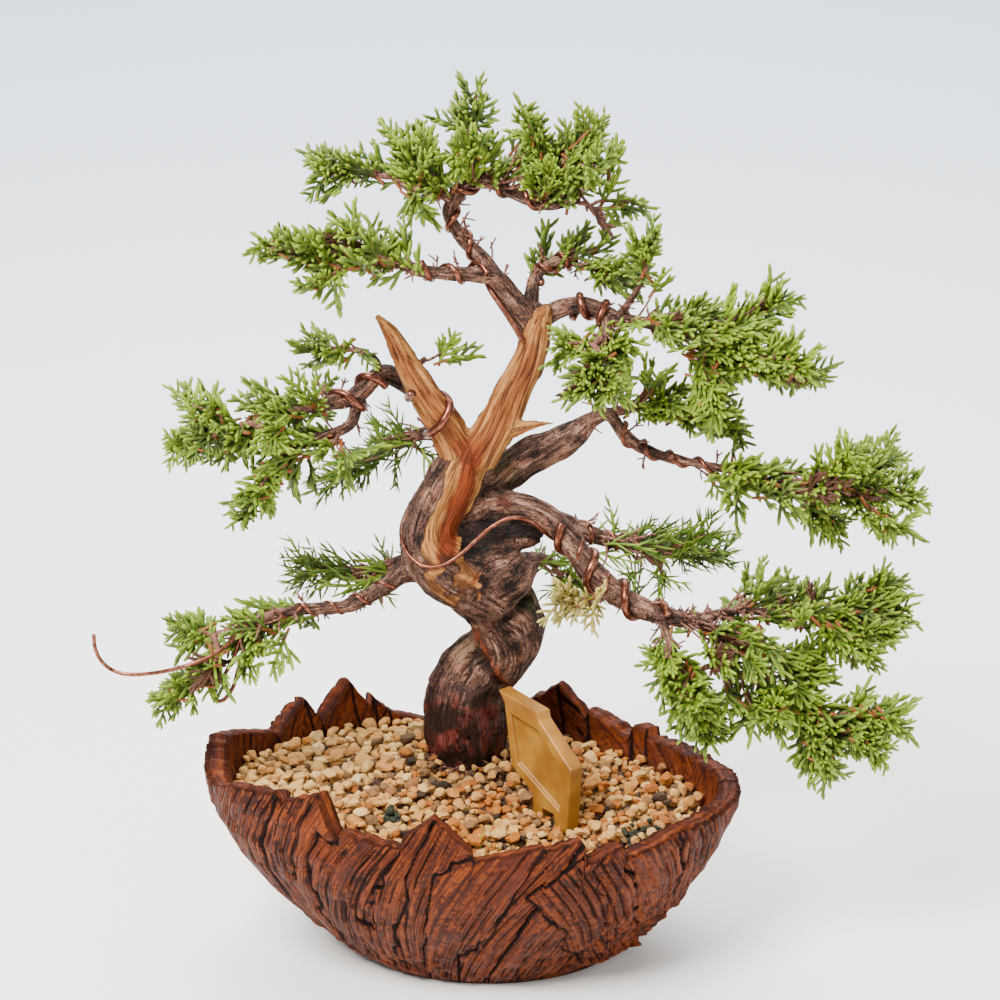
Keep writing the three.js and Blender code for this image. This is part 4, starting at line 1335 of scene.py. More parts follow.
@dataclass
class TrainingWire:
    """A wire swept again, round and fine, along the centre line of its node in the frame."""

    node: str
    sides: int = 12
    spacing: float = 0.7 * MM
    loose: tuple[float, float] = (4 * MM, 6.5 * MM)  # gaps from which a stretch hangs free

    def build(self, material: Material, wood: BVHTree) -> None:
        """Builds the wire, drawn tight on the wood.

        Args:
            material: The wires' material.
            wood: The frame's tree.
        """
        rings = self._rings()
        centres = [sum(ring, Vector()) / len(ring) for ring in rings]
        radius = max((corner - centres[1]).length for corner in rings[1])
        centres = self._tight(centres, radius, wood)
        route = Route.smooth([(*centre, radius) for centre in centres], self.spacing)
        bm = tube(route, self.sides)
        cut = bm.verts.layers.float.new("cut")
        for vert in bm.verts:
            ends = min((vert.co - route.points[0]).length, (vert.co - route.points[-1]).length)
            vert[cut] = 1.0 if ends < 0.5 * radius else 0.0
        piece = new_piece(self.node.replace("wire_", "training_wire_"), bm, "wire", material)
        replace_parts(piece, self.node)

    def _tight(self, centres: list[Vector], radius: float, wood: BVHTree) -> list[Vector]:
        """Draws each turn in until it lies on the bark, and leaves the free stretches.

        Args:
            centres: The wire's line in the frame.
            radius: The wire's radius.
            wood: The frame's tree.

        Returns:
            The tightened line.
        """
        drawn = []
        for centre in centres:
            spot, _, _, gap = wood.find_nearest(centre)
            share = 1 - smoothstep(*self.loose, gap - radius)
            drawn.append(centre.lerp(spot + (centre - spot).normalized() * radius, share))
        inner = [(a + 2 * b + c) / 4 for a, b, c in zip(drawn, drawn[1:], drawn[2:])]
        return [drawn[0], *inner, drawn[-1]]

    def _rings(self) -> list[list[Vector]]:
        """Reads the node's four-cornered rings in order from one end to the other.

        Returns:
            The corners of each ring.
        """
        bm = node_copy(self.node)
        farthest = self._layers(bm, [next(iter(bm.verts))])[-1][0]
        near = sorted(bm.verts, key=lambda v: (v.co - farthest.co).length)[:4]
        rings = [[v.co.copy() for v in layer] for layer in self._layers(bm, near) if len(layer) == 4]
        bm.free()
        return rings

    @staticmethod
    def _layers(bm: BMesh, start: list[bmesh.types.BMVert]) -> list[list[bmesh.types.BMVert]]:
        """Walks over a mesh by its edges, a layer of vertices at a time.

        Args:
            bm: The mesh.
            start: The vertices that it starts from.

        Returns:
            The layers, from the start on.
        """
        seen = set(start)
        layers = [start]
        while layers[-1]:
            layer = []
            for vert in layers[-1]:
                for edge in vert.link_edges:
                    other = edge.other_vert(vert)
                    if other not in seen:
                        seen.add(other)
                        layer.append(other)
            layers.append(layer)
        return layers[:-1]


# ---- the foliage


class Habit(Enum):
    """How a bunch's shoots look: blunt scaly cords, or thin pointed young needles."""

    CORDS = "cords"
    NEEDLES = "needles"


@dataclass
class SprayShape:
    """A flat, forking spray of cords on one axis, made once in a few seeded forms and repeated."""

    habit: Habit
    length: float = 21 * MM
    cord: float = 0.7 * MM  # radius
    side_cords: int = 8
    forms: int = 12
    rings: int = 4
    sides: int = 5

    def meshes(self, seed: int) -> list[Mesh]:
        """Makes the forms as meshes that stand on the origin and point up."""
        return [self._form(Random(seed + i), f"{self.habit.value}_{i}") for i in range(self.forms)]

    def _form(self, rng: Random, name: str) -> Mesh:
        """Makes one form: an axis, its side cords, and cords on the longer side cords.

        Args:
            rng: Its chances.
            name: The mesh's name.

        Returns:
            The form.
        """
        bm = bmesh.new()
        bend = Vector((rng.uniform(-0.25, 0.25), rng.uniform(-0.25, 0.25), 0))
        axis = self._path(Vector(), UP, self.length, bend)
        self._cord(bm, axis, rng, woody=self.habit is Habit.CORDS)
        roll = rng.uniform(0, TURN)
        step = math.pi if self.habit is Habit.CORDS else 2.4
        for i in range(self.side_cords):
            share = mix(0.14, 0.86, i / (self.side_cords - 1)) + rng.uniform(-0.04, 0.04)
            turn = roll + i * step + rng.uniform(-0.7, 0.7)
            reach = self.length * (0.42 * (1 - share) + 0.2) * rng.uniform(0.75, 1.15)
            self._branch(bm, self._at(axis, share), UP, turn, reach, rng, deep=reach > 0.36 * self.length)
        return mesh_of(bm, name)

    def _branch(
        self, bm: BMesh, foot: Vector, heading: Vector, turn: float, reach: float,
        rng: Random, deep: bool,
    ) -> None:
        """Adds a side cord, and two more on it where it is long.

        Args:
            bm: The form's mesh.
            foot: Where the cord leaves its parent.
            heading: The parent's direction.
            turn: The angle round the parent.
            reach: The cord's length.
            rng: Its chances.
            deep: Whether it carries cords itself.
        """
        side = heading.orthogonal().normalized()
        side.rotate(Matrix.Rotation(turn, 3, heading))
        lean = math.radians(rng.uniform(32, 52) if self.habit is Habit.CORDS else rng.uniform(25, 50))
        aim = heading * math.cos(lean) + side * math.sin(lean)
        path = self._path(foot, aim, reach, (heading - aim) * rng.uniform(0.05, 0.35))
        self._cord(bm, path, rng)
        if deep and self.habit is Habit.CORDS:
            direction = (path[-1] - path[0]).normalized()
            for share in (0.28, 0.56):
                where = self._at(path, share + rng.uniform(-0.06, 0.06))
                length = reach * (1 - share) * rng.uniform(0.6, 0.9)
                across = turn + rng.uniform(-0.4, 0.4) + (math.pi if share > 0.5 else 0)
                self._branch(bm, where, direction, across, length, rng, deep=False)

    def _path(self, foot: Vector, heading: Vector, reach: float, bend: Vector) -> list[Vector]:
        """A gently bent line of points."""
        steps = [k / self.rings for k in range(self.rings + 1)]
        return [foot + heading * (reach * s) + bend * (reach * s * s) for s in steps]

    @staticmethod
    def _at(path: list[Vector], share: float) -> Vector:
        """Reads a point off a line of points.

        Args:
            path: The line.
            share: How far along it.

        Returns:
            The point.
        """
        place = clamp(share) * (len(path) - 1)
        k = min(int(place), len(path) - 2)
        return path[k].lerp(path[k + 1], place - k)

    def _cord(self, bm: BMesh, path: list[Vector], rng: Random, woody: bool = False) -> None:
        """Adds one cord: a tube with the bumps of its scales and a blunt or pointed tip.

        Args:
            bm: The form's mesh.
            path: The cord's line.
            rng: The source of its shade.
            woody: Whether its foot is brown.
        """
        blunt = self.habit is Habit.CORDS
        radius = self.cord * (1 if blunt else 0.68)
        shape = (0.85, 1.06, 0.95, 1.08) if blunt else (0.9, 1.1, 1.0, 0.75)
        tip = path[-1] + (path[-1] - path[-2]).normalized() * radius * 0.9
        radii = [radius * s for s in (*shape, 0.8 if blunt else 0.35, 0.25)]
        part = tube(Route([*path, tip], radii), self.sides)
        shade = rng.random()
        tint, along, brown = [part.verts.layers.float.new(name) for name in ("tint", "along", "woody")]
        length = (path[-1] - path[0]).length
        for vert in part.verts:
            vert[tint] = shade
            share = clamp((vert.co - path[0]).length / length)
            vert[along] = share**1.5
            vert[brown] = woody * (1 - 1.7 * share)
        join(bm, part)


@dataclass
class Shoot:
    """One shoot: where it leaves its twig and where it ends."""

    foot: Vector
    tip: Vector


class SprayMass:
    """Sprays and the twigs that carry them, gathered into one piece."""

    full_shoot = 14 * MM  # the shoot that a spray of full size stands on
    sizes = (0.72, 1.1)  # of the smallest and the largest spray
    lift = 0.25  # how far a spray may lean up, as a share of its shoot
    margin = 4 * MM

    def __init__(self, forms: list[Mesh], withered: float, rng: Random) -> None:
        """Starts an empty mass.

        Args:
            forms: The forms to repeat.
            withered: The share of sprays that are brown.
            rng: Its chances.
        """
        self.forms = forms
        self.withered = withered
        self.rng = rng
        self.leaves = bmesh.new()
        self.wood = bmesh.new()
        self.ranges: list[tuple[int, float, float]] = []
        self.tips: list[Vector] = []

    def spray(self, shoot: Shoot) -> None:
        """Stands a spray along its shoot, rolled at random, so that it ends at the shoot's tip.

        Args:
            shoot: The shoot.
        """
        rng = self.rng
        axis = shoot.tip - shoot.foot
        size = clamp(axis.length / self.full_shoot, *self.sizes)
        axis += UP * axis.length * rng.uniform(0.0, self.lift)
        foot = shoot.tip - axis.normalized() * SprayShape.length * size
        turn = UP.rotation_difference(axis.normalized()).to_matrix().to_4x4()
        roll = Matrix.Rotation(rng.uniform(0, TURN), 4, "Z")
        move = Matrix.Translation(foot) @ turn @ roll @ Matrix.Scale(size, 4)
        count = stamp(self.leaves, rng.choice(self.forms), move)
        brown = float(rng.random() < self.withered)
        self.ranges.append((count, rng.random(), brown))
        self.tips.append(shoot.tip)

    def twig(self, start: Vector, end: Vector, radius: float) -> None:
        """Adds a slightly bent twig.

        Args:
            start: Where it starts.
            end: Where it ends.
            radius: Its radius.
        """
        if (start - end).length < 0.2 * MM:
            return
        bend = stray(self.rng) * 0.1 * (start - end).length
        points = [(*start, radius), (*(start.lerp(end, 0.5) + bend), radius), (*end, radius * 0.9)]
        join(self.wood, tube(Route.smooth(points, 1.4 * MM), 6))

    def piece(self, name: str, materials: list[Material]) -> Object:
        """Writes what the finishes read and makes the piece.

        Args:
            name: The piece's name.
            materials: The leaf and twig materials.

        Returns:
            The piece.
        """
        centre = sum(self.tips, Vector()) / len(self.tips)
        size = max((tip - centre).length for tip in self.tips) + self.margin
        tint = self.leaves.verts.layers.float["tint"]
        painted_light = self.leaves.verts.layers.float.new("painted_light")
        withered = self.leaves.verts.layers.float.new("withered")
        verts = iter(self.leaves.verts)
        for count, shade, brown in self.ranges:
            for vert in islice(verts, count):
                vert[tint] = mix(vert[tint], shade, 0.5)
                # painted light: how far out and how high each vertex lies in its bunch
                vert[painted_light] = (vert.co - centre).length / size + 0.3 * (vert.co.z - centre.z) / size
                vert[withered] = brown
        for face in self.wood.faces:
            face.material_index = 1
        join(self.leaves, self.wood)
        return new_piece(name, self.leaves, "foliage", *materials)


@dataclass
class Bunch:
    """A bunch of foliage: sprays where the frame has its shoots, on twigs that join their feet."""

    node: str
    fullness: float = 1.0
    twig: float = 0.42 * MM  # radius of a twig that carries one spray
    spread: float = 3.5 * MM  # how far an added shoot strays
    shortest: float = 5 * MM  # edge of the frame's mesh that can end a shoot
    slimmest: float = math.radians(38)  # angle that a shoot's edges keep to its axis
    thickest: float = 3.4  # twig, in radii of the thinnest

    def build(self, mass: SprayMass, tree: BVHTree, materials: list[Material]) -> None:
        """Builds the bunch.

        Args:
            mass: The empty mass to fill.
            tree: The frame's tree, for where the bunch hangs on it.
            materials: The leaf and twig materials.
        """
        shoots = [shoot for shoot in self._shoots() if mass.rng.random() < self.fullness]
        feet = [shoot.foot for shoot in shoots]
        for shoot in shoots + self._between(shoots, mass.rng):
            mass.spray(shoot)
        self._twigs(mass, feet, tree)
        piece = mass.piece(self.node.replace("foliage_", "sprays_"), materials)
        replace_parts(piece, self.node)

    def _shoots(self) -> list[Shoot]:
        """Finds the node's shoots: corners whose edges all run back the same way.

        Returns:
            The shoots.
        """
        bm = node_copy(self.node)
        shoots = []
        for vert in bm.verts:
            edges = [e.other_vert(vert).co - vert.co for e in vert.link_edges]
            mean = sum((e.normalized() for e in edges), Vector())
            if mean.length < 1e-9:
                continue
            mean.normalize()
            longest = max(e.length for e in edges)
            if longest > self.shortest and all(e.angle(mean) < self.slimmest for e in edges):
                far = [vert.co + e for e in edges if e.length > 0.7 * longest]
                shoots.append(Shoot(sum(far, Vector()) / len(far), vert.co.copy()))
        bm.free()
        return shoots

    def _between(self, shoots: list[Shoot], rng: Random) -> list[Shoot]:
        """Makes shoots between neighbours, so that the bunch is as full as the real one.

        Args:
            shoots: The shoots that are there.
            rng: Its chances.

        Returns:
            The shoots to add.
        """
        tree = near_tree([shoot.tip for shoot in shoots])
        added = []
        for _ in range(round(len(shoots) * (self.fullness - 1))):
            shoot = rng.choice(shoots)
            near = tree.find_n(shoot.tip, 5)
            other = shoots[rng.choice(near[1:])[1]] if len(near) > 1 else shoot
            share = rng.uniform(0.3, 0.7)
            tip = shoot.tip.lerp(other.tip, share) + stray(rng) * self.spread
            added.append(Shoot(shoot.foot.lerp(other.foot, share), tip))
        return added

    def _twigs(self, mass: SprayMass, feet: list[Vector], tree: BVHTree) -> None:
        """Joins each foot to its nearest joined foot, with twigs that thicken towards the tree.

        Args:
            mass: The mass that the twigs go to.
            feet: Where the shoots leave their twigs.
            tree: The frame's tree.
        """
        root = min(range(len(feet)), key=lambda i: tree.find_nearest(feet[i])[3])
        parent = {root: -1}
        best = {i: ((feet[i] - feet[root]).length, root) for i in range(len(feet)) if i != root}
        order = [root]
        while best:
            i = min(best, key=lambda j: best[j][0])
            parent[i] = best.pop(i)[1]
            order.append(i)
            for j in best:
                gap = (feet[j] - feet[i]).length
                if gap < best[j][0]:
                    best[j] = (gap, i)
        load = {i: 1 for i in order}
        for i in reversed(order[1:]):
            load[parent[i]] += load[i]
        for i in order:
            start = tree.find_nearest(feet[root])[0] if parent[i] < 0 else feet[parent[i]]
            mass.twig(start, feet[i], self.twig * min(self.thickest, load[i] ** 0.42))


@dataclass
class Fringe:
    """Sprays on short twigs along a slim limb, between the frame's bunches."""

    limb: str
    shares: tuple[float, float]  # where on the limb it starts and ends
    count: int
    reach: tuple[float, float]  # millimetres from the limb to a spray's foot
    rise: float  # how far its twigs lean up
    habit: Habit = Habit.CORDS
    twig: float = 0.42 * MM  # radius
    shoot: tuple[float, float] = (10, 15)  # lengths in millimetres
    dead_reach: tuple[float, float] = (4.0, 10.0)  # millimetres from the limb to a dead twig's tip
    dead_fork: tuple[float, float] = (2, 4.5)  # millimetres
    dead_twig: float = 0.4 * MM  # radius

    def build(self, mass: SprayMass, materials: list[Material]) -> None:
        """Builds the fringe.

        Args:
            mass: The empty mass to fill.
            materials: The leaf and twig materials.
        """
        rng = mass.rng
        route = SLIM_LIMBS[self.limb].route(1 * MM)
        for i in range(self.count):
            share = mix(*self.shares, (i + rng.random()) / self.count)
            k = round(share * (len(route.points) - 1))
            sideways = Vector((rng.uniform(-1, 1), rng.uniform(-1, 1), rng.uniform(-0.3, 0.3)))
            heading = (route.tangents[k] * 0.7 + UP * self.rise + sideways * 0.8).normalized()
            foot = route.points[k] + heading * mix(*self.reach, rng.random()) * MM
            mass.twig(route.points[k], foot, self.twig)
            aim = (heading + stray(rng, 0.5)).normalized()
            mass.spray(Shoot(foot, foot + aim * rng.uniform(*self.shoot) * MM))
            self._bare_twig(mass, route, rng)
        mass.piece(f"fringe_{self.limb}", materials)

    def _bare_twig(self, mass: SprayMass, route: Route, rng: Random) -> None:
        """Adds a dead twig with two forks.

        Args:
            mass: The mass that it goes to.
            route: The limb's centre line.
            rng: Its chances.
        """
        k = rng.randrange(len(route.points))
        heading = stray(rng) + route.tangents[k] * 0.6 + UP * self.rise
        tip = route.points[k] + heading.normalized() * rng.uniform(*self.dead_reach) * MM
        mass.twig(route.points[k], tip, self.dead_twig)
        for _ in range(2):
            fork = route.points[k].lerp(tip, rng.uniform(0.4, 0.8))
            aim = (stray(rng) + heading.normalized()).normalized()
            mass.twig(fork, fork + aim * rng.uniform(*self.dead_fork) * MM, 0.8 * self.dead_twig)


FRINGE_ROWS = [
    ("apex", (0.45, 1), 34, (3, 19), 1.0),
    ("crown_twig_left", (0, 1), 16, (3, 20), 0.5),
    ("crown_twig_right", (0, 1), 14, (3, 16), 0.6),
    ("crown_left_end", (0.5, 1), 16, (3, 16), 0.3),
    ("crown_back", (0.3, 1), 8, (3, 12), 0.4),
    ("upper_right_end", (0.4, 1), 20, (3, 18), 0.2),
    ("front_twig", (0.2, 1), 8, (2, 10), -0.1),
    ("inner_right_twig", (0.2, 1), 12, (3, 14), 0.3),
    ("right_middle", (0.66, 1), 18, (3, 20), 0.1),
    ("heavy_end", (0.35, 1), 40, (4, 26), -0.1),
    ("low_right_twig", (0.35, 1), 22, (3, 20), 0.1),
    ("inner_low_twig", (0.3, 1), 12, (3, 14), -0.4),
    ("upper_left_end", (0.35, 1), 14, (3, 14), 0.2),
    ("upper_left_fork", (0.35, 1), 12, (3, 14), -0.2),
    ("low_left_end", (0.45, 1), 22, (3, 16), -0.2),
    ("mid_left_end", (0.2, 1), 18, (3, 18), 0.1, Habit.NEEDLES),
    ("back_left_end", (0.2, 1), 18, (3, 18), 0.1, Habit.NEEDLES),
    ("back_low_end", (0, 1), 8, (2, 12), 0.0, Habit.NEEDLES),
    ("right_back_end", (0.2, 1), 22, (3, 18), 0.2, Habit.NEEDLES),
]

FRINGES = [Fringe(*row) for row in FRINGE_ROWS]


@dataclass
class Foliage:
    """All the bunches of the tree and the fringes between them."""

    needles: tuple[str, ...] = ("right_back", "middle_left", "back_left", "back_low")
    pale: tuple[str, ...] = ("pale_sprig",)
    airy: tuple[str, ...] = (
        "crown_left", "crown_middle", "crown_right", "crown_tip", "left_crown", "upper_left",
        "upper_left_low", "top_sprig", "fork_sprig",
    )
    dense: tuple[str, ...] = ("low_right", "low_right_inner", "low_right_top", "upper_right")
    fullness: tuple[float, float, float] = (0.74, 1.1, 1.45)  # airy, plain and dense bunches
    withered: float = 0.013

    def build(self) -> None:
        """Builds every bunch that the frame has, and the fringes."""
        forms = {habit: SprayShape(habit).meshes(3) for habit in Habit}
        tree = node_tree_of("tree")
        twig = TWIG_BARK.material()
        pale = LeafFinish("pale_shoots", "5a4a14", ("7a6a20", "948436", "a89a52"), "b8ac68").material()
        young = LeafFinish("young_needles", "20360a", ("3c580a", "5c7a10", "80981c"), "a0aa30")
        leaves = {Habit.CORDS: LeafFinish("juniper_shoots").material(), Habit.NEEDLES: young.material()}
        for node in sorted(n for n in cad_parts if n.startswith("foliage_")):
            bunch = node.removeprefix("foliage_")
            habit = Habit.NEEDLES if bunch in self.needles else Habit.CORDS
            mass = SprayMass(forms[habit], self.withered, Random(node))
            fullness = self.fullness[1 - (bunch in self.airy) + (bunch in self.dense)]
            leaf = pale if bunch in self.pale else leaves[habit]
            Bunch(node, fullness).build(mass, tree, [leaf, twig])
        for fringe in FRINGES:
            mass = SprayMass(forms[fringe.habit], self.withered, Random(fringe.limb))
            fringe.build(mass, [leaves[fringe.habit], twig])
        for made in forms.values():
            for mesh in made:
                bpy.data.meshes.remove(mesh)


# ---- the bowl


@dataclass(frozen=True)
class RimSlab:
    """A torn slab of the rim, in degrees round the bowl and in millimetres."""

    start: float
    first_height: float
    last_height: float
    proud: float


DRAIN_NETS = ("drain_screen_left", "drain_screen_right")
LAP_SLAB = 293.0  # where the slab that laps over the front starts on the rim

RIM_SLABS = [
    RimSlab(*row)
    for row in (
        (0, 66, 64, 0), (19, 63, 64, 1), (44, 67, 67, 0.2), (49, 62, 70, 1.2), (62, 66, 79, 0),
        (70, 79, 68, 0.8), (80, 66, 63, 0), (100, 62, 68, 1), (112, 70, 75, 0.2), (116, 70, 83, 1.2),
        (122, 83, 67, 0.2), (131, 70, 80, 1), (135, 79, 67, 0.4), (146, 70, 83, 1.3), (176, 83, 72, 0.4),
        (193, 72, 80, 0), (208, 80, 84, 1.2), (225, 81, 88, 0.2), (236, 87, 71, 1), (241, 75, 71, 0),
        (255, 76, 84, 1.4), (262, 84, 70, 0.4), (270, 67, 72, 0), (285, 70, 73, -0.4),
        (LAP_SLAB, 63, 69, 1.8), (303, 62, 68, 0.2), (318, 68, 68, 1.2), (340, 67, 66, 0.3),
    )
]


class Line:
    """A value read off a line of (value, place) points, going on straight past its ends."""

    def __init__(self, *points: tuple[float, float]) -> None:
        """Takes the line's points."""
        self.points = points

    def __call__(self, place: float) -> float:
        """Reads the value at a place.

        Args:
            place: The place.

        Returns:
            The value there.
        """
        k = next((i for i, (_, at) in enumerate(self.points) if at > place), len(self.points) - 1)
        (a, start), (b, end) = self.points[max(k, 1) - 1], self.points[max(k, 1)]
        return a + (b - a) * (place - start) / (end - start)


@dataclass
class Relief:
    """The bowl's surface at one place: its rise in millimetres and what its finish reads: a crevice painted
    as shade and an edge painted as a highlight on worn clay.
    """

    rise: float
    crevice: float
    edge: float
    grain: Vector


@dataclass
class BarkBowl:
    """The bowl: the frame's torn, overlapping slabs, with slanted grooves scored into them."""

    finish: CeramicFinish = field(default_factory=CeramicFinish)
    columns: int = 740
    foot_rows: int = 4
    wall_rows: int = 94
    lip_rows: int = 5
    inside_rows: int = 22
    floor_rows: int = 2
    ratio: float = 0.7  # of its depth to its width
    lean: float = 5.0  # how far its foot stands to one side
    floor: float = 9.2
    foot: float = 48.0
    thinnest: float = 3.6  # its wall
    hole: float = 7 * MM  # a drainage hole's radius
    outer: Line = Line((48, 0), (55, 5), (67, 17), (80, 32), (91, 48), (98, 62), (100, 76), (98, 92))
    inner: Line = Line((46, 9), (62, 20), (77, 36), (89, 60), (92, 76), (91, 92))
    slant: float = 0.35  # degrees that a slab's border leans for each millimetre down
    lap: Line = Line((297, 0), (281, 20), (290, 38), (307, 60))  # degrees, millimetres below the rim
    upright: tuple[float, float] = (345, 360)
    lapping: tuple[float, float] = (272, 320)  # degrees between which the lap slab's edge runs
    arc: float = 1.5  # millimetres of wall in a degree
    groove_gap: float = 3.5
    groove_depth: float = 1.5
    groove_width: float = 0.9
    tear: float = 1.1
    worn_foot: tuple[float, float] = (8, 26)  # heights between which the lumps of the foot end
    ragged: tuple[float, float] = (296, 352)  # degrees between which the wall's lower edge is crumbled
    ragged_heights: tuple[float, float] = (20, 44)  # between which that ends

    def build(self) -> None:
        """Builds the bowl and bores its drainage holes."""
        columns = [self._column(TURN * c / self.columns) for c in range(self.columns)]
        bm = bmesh.new()
        bmesh.ops.create_grid(bm, x_segments=self.columns, y_segments=len(columns[0]) - 1, size=0.5)
        crevice = bm.verts.layers.float.new("crevice")
        edge = bm.verts.layers.float.new("edge")
        grain = bm.verts.layers.float_vector.new("grain")
        for index, vert in enumerate(bm.verts):
            row, column = divmod(index, self.columns + 1)
            vert.co, relief = columns[column % self.columns][row]
            vert[crevice], vert[edge], vert[grain] = relief.crevice, relief.edge, relief.grain
        close(bm)
        bowl = new_piece("bark_bowl", bm, "ceramic", self.finish.material())
        self._bore(bowl)
        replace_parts(bowl, "pot")

    def _at(self, angle: float, reach: float, height: float) -> Vector:
        """A point of the oval bowl in metres, from a reach and a height in millimetres."""
        shift = self.lean * max(0.0, 1 - height / 60)
        return Vector((reach * math.cos(angle) + shift, self.ratio * reach * math.sin(angle), height)) * MM

    def _slab(self, turn: float, drop: float) -> tuple[int, float, float]:
        """Finds the slab at an angle and a depth below the rim.

        Args:
            turn: The angle in degrees.
            drop: The depth below the rim in millimetres.

        Returns:
            The slab's index, how far along it the place is, and how far from its border in
            millimetres.
        """
        lapped = turn > self.lap(drop)
        lean = 2 * smoothstep(*self.upright, turn) - 1 if lapped else 1.0
        ragged = 1.6 * noise.noise(Vector((turn / 5, drop / 7, 3))) * min(1.0, drop / 4)
        leaned = turn + lean * self.slant * drop + ragged
        degrees = (max(leaned, LAP_SLAB) if lapped else leaned) % 360
        i = max(k for k, slab in enumerate(RIM_SLABS) if slab.start <= degrees + 1e-6)
        start = RIM_SLABS[i].start
        end = RIM_SLABS[i + 1].start if i + 1 < len(RIM_SLABS) else 360
        share = (degrees - start) / (end - start)
        near_start = degrees > LAP_SLAB or not lapped
        border = (min(degrees - start, end - degrees) if near_start else end - degrees) * self.arc
        if self.lapping[0] < turn < self.lapping[1]:
            border = min(border, abs(turn - self.lap(drop)) * self.arc)
        return i, share, border

    def _rim(self, angle: float) -> float:
        """The torn rim's height at an angle.

        Args:
            angle: The angle round the bowl.

        Returns:
            The height in millimetres.
        """
        turn = math.degrees(angle)
        i, share, _ = self._slab(turn, 0)
        height = mix(RIM_SLABS[i].first_height, RIM_SLABS[i].last_height, share)
        torn = noise.noise(Vector((turn / 2.2, 0, 0))) + 0.5 * noise.noise(Vector((turn, 4, 0)))
        return height + self.tear * torn

    def _comb(self, across: float, along: float, gap: float, width: float, seed: float) -> float:
        """How deep a place lies in a comb of broken, roughly parallel grooves.

        Args:
            across: The place across the grooves, in millimetres.
            along: The place along them.
            gap: The distance between grooves.
            width: How far a groove's side reaches.
            seed: What makes this comb differ from others.

        Returns:
            The depth, from 0 to 1.
        """
        wander = 0.3 * noise.noise(Vector((across / (4 * gap), along / (7 * gap), seed)))
        line = across / gap + wander
        index = round(line)
        gone = noise.noise(Vector((index * 7.31, along / 13, seed)))
        strength = smoothstep(-0.35, 0.05, gone) * (0.62 + 0.38 * math.sin(index * 12.9 + seed))
        return strength * (1 - smoothstep(0.0, width, abs(line - index) * gap))

    def _outside(self, angle: float, height: float, rim: float) -> Relief:
        """The outer wall's relief.

        Args:
            angle: The angle round the bowl.
            height: The height in millimetres.
            rim: The rim's height there.

        Returns:
            The relief.
        """
        turn = math.degrees(angle)
        drop = rim - height
        i, share, border = self._slab(turn, drop)
        slab = RIM_SLABS[i]
        lapped = turn > self.lap(drop)
        lean = -0.52 * (1 - 2 * smoothstep(*self.upright, turn)) if lapped else 0.5
        arc = turn * self.arc
        across, along = self._leaned(arc, height, lean + 0.1 * math.sin(i * 4.7))
        seed = i * 3.7 + 50 * lapped
        deep = self._comb(across, along, self.groove_gap, self.groove_width, seed)
        fine = self._comb(across + 1.7, along, 2.6, 1.0, seed + 9)
        lumps = noise.noise(Vector((arc / 6, height / 6, 1)))
        lumps += 0.5 * noise.noise(Vector((arc / 2.6, height / 2.6, 5)))
        low = 1 - smoothstep(*self.worn_foot, height + 6 * noise.noise(Vector((arc / 14, 0, 2))))
        first, last = self.ragged
        crumbled = smoothstep(first, first + 10, turn) * (1 - smoothstep(last - 10, last, turn))
        crumbled *= 1 - smoothstep(*self.ragged_heights, height)
        rolled = 0.9 * (math.sin(math.pi * clamp(share)) ** 0.6 - 0.6)
        rise = slab.proud * min(1, height / 20) + rolled + 0.9 * (share - 0.5) * math.sin(i * 2.3)
        rise += 0.35 * lumps + (2.2 * low + 3.4 * crumbled) * lumps
        rise -= self.groove_depth * deep * (1 - 0.4 * crumbled) + 0.6 * fine
        seam = 1 - smoothstep(0.0, 1.2, border)
        rise -= 1.1 * seam * min(1.0, 0.3 + drop / 8)
        # crevice is painted as shade: grooves, seams, and the hollows between the foot's lumps
        crevice = clamp(max(deep, 0.75 * fine, 0.9 * seam) + 0.35 * (low + crumbled) * clamp(-lumps))
        # edge is painted as a highlight on worn clay: near slab borders and on lump tops
        edge = smoothstep(1.2, 2.4, border) * (1 - smoothstep(2.4, 5, border))
        edge = clamp(edge + 0.7 * clamp(lumps) * (0.4 + low))
        return Relief(rise * smoothstep(0, 5, height), crevice, edge, Vector((across, along, seed)) * MM)

    @staticmethod
    def _leaned(arc: float, height: float, lean: float) -> tuple[float, float]:
        """Turns a place on the wall into one across and one along grooves that lean."""
        sine, cosine = math.sin(lean), math.cos(lean)
        return cosine * arc - sine * height, sine * arc + cosine * height

    def _inside(self, angle: float, height: float, rim: float) -> Relief:
        """The inner wall's relief.

        Args:
            angle: The angle round the bowl.
            height: The height in millimetres.
            rim: The rim's height there.

        Returns:
            The relief.
        """
        turn = math.degrees(angle)
        i, _, border = self._slab(turn, max(0.0, 0.4 * (rim - height)))
        lean = mix(0.95, -0.5, smoothstep(75, 100, turn)) if turn < 200 else 0.4
        across, along = self._leaned(turn * self.arc, height, lean)
        deep = self._comb(across, along, 5.5, 1.3, i * 1.9)
        fine = self._comb(across + 1.2, along, 2.4, 0.9, i + 5.0)
        seam = 1 - smoothstep(0.0, 1.5, border)
        rise = 0.5 * math.sin(i * 5.1) - 1.0 * deep - 0.4 * fine - 0.8 * seam
        fade = smoothstep(40, 56, height)
        # crevice is painted as shade in the inner grooves and seams
        crevice = clamp(max(deep, 0.6 * fine, seam)) * 0.9
        return Relief(rise * fade, crevice, 0.9, Vector((across, along, i)) * MM)

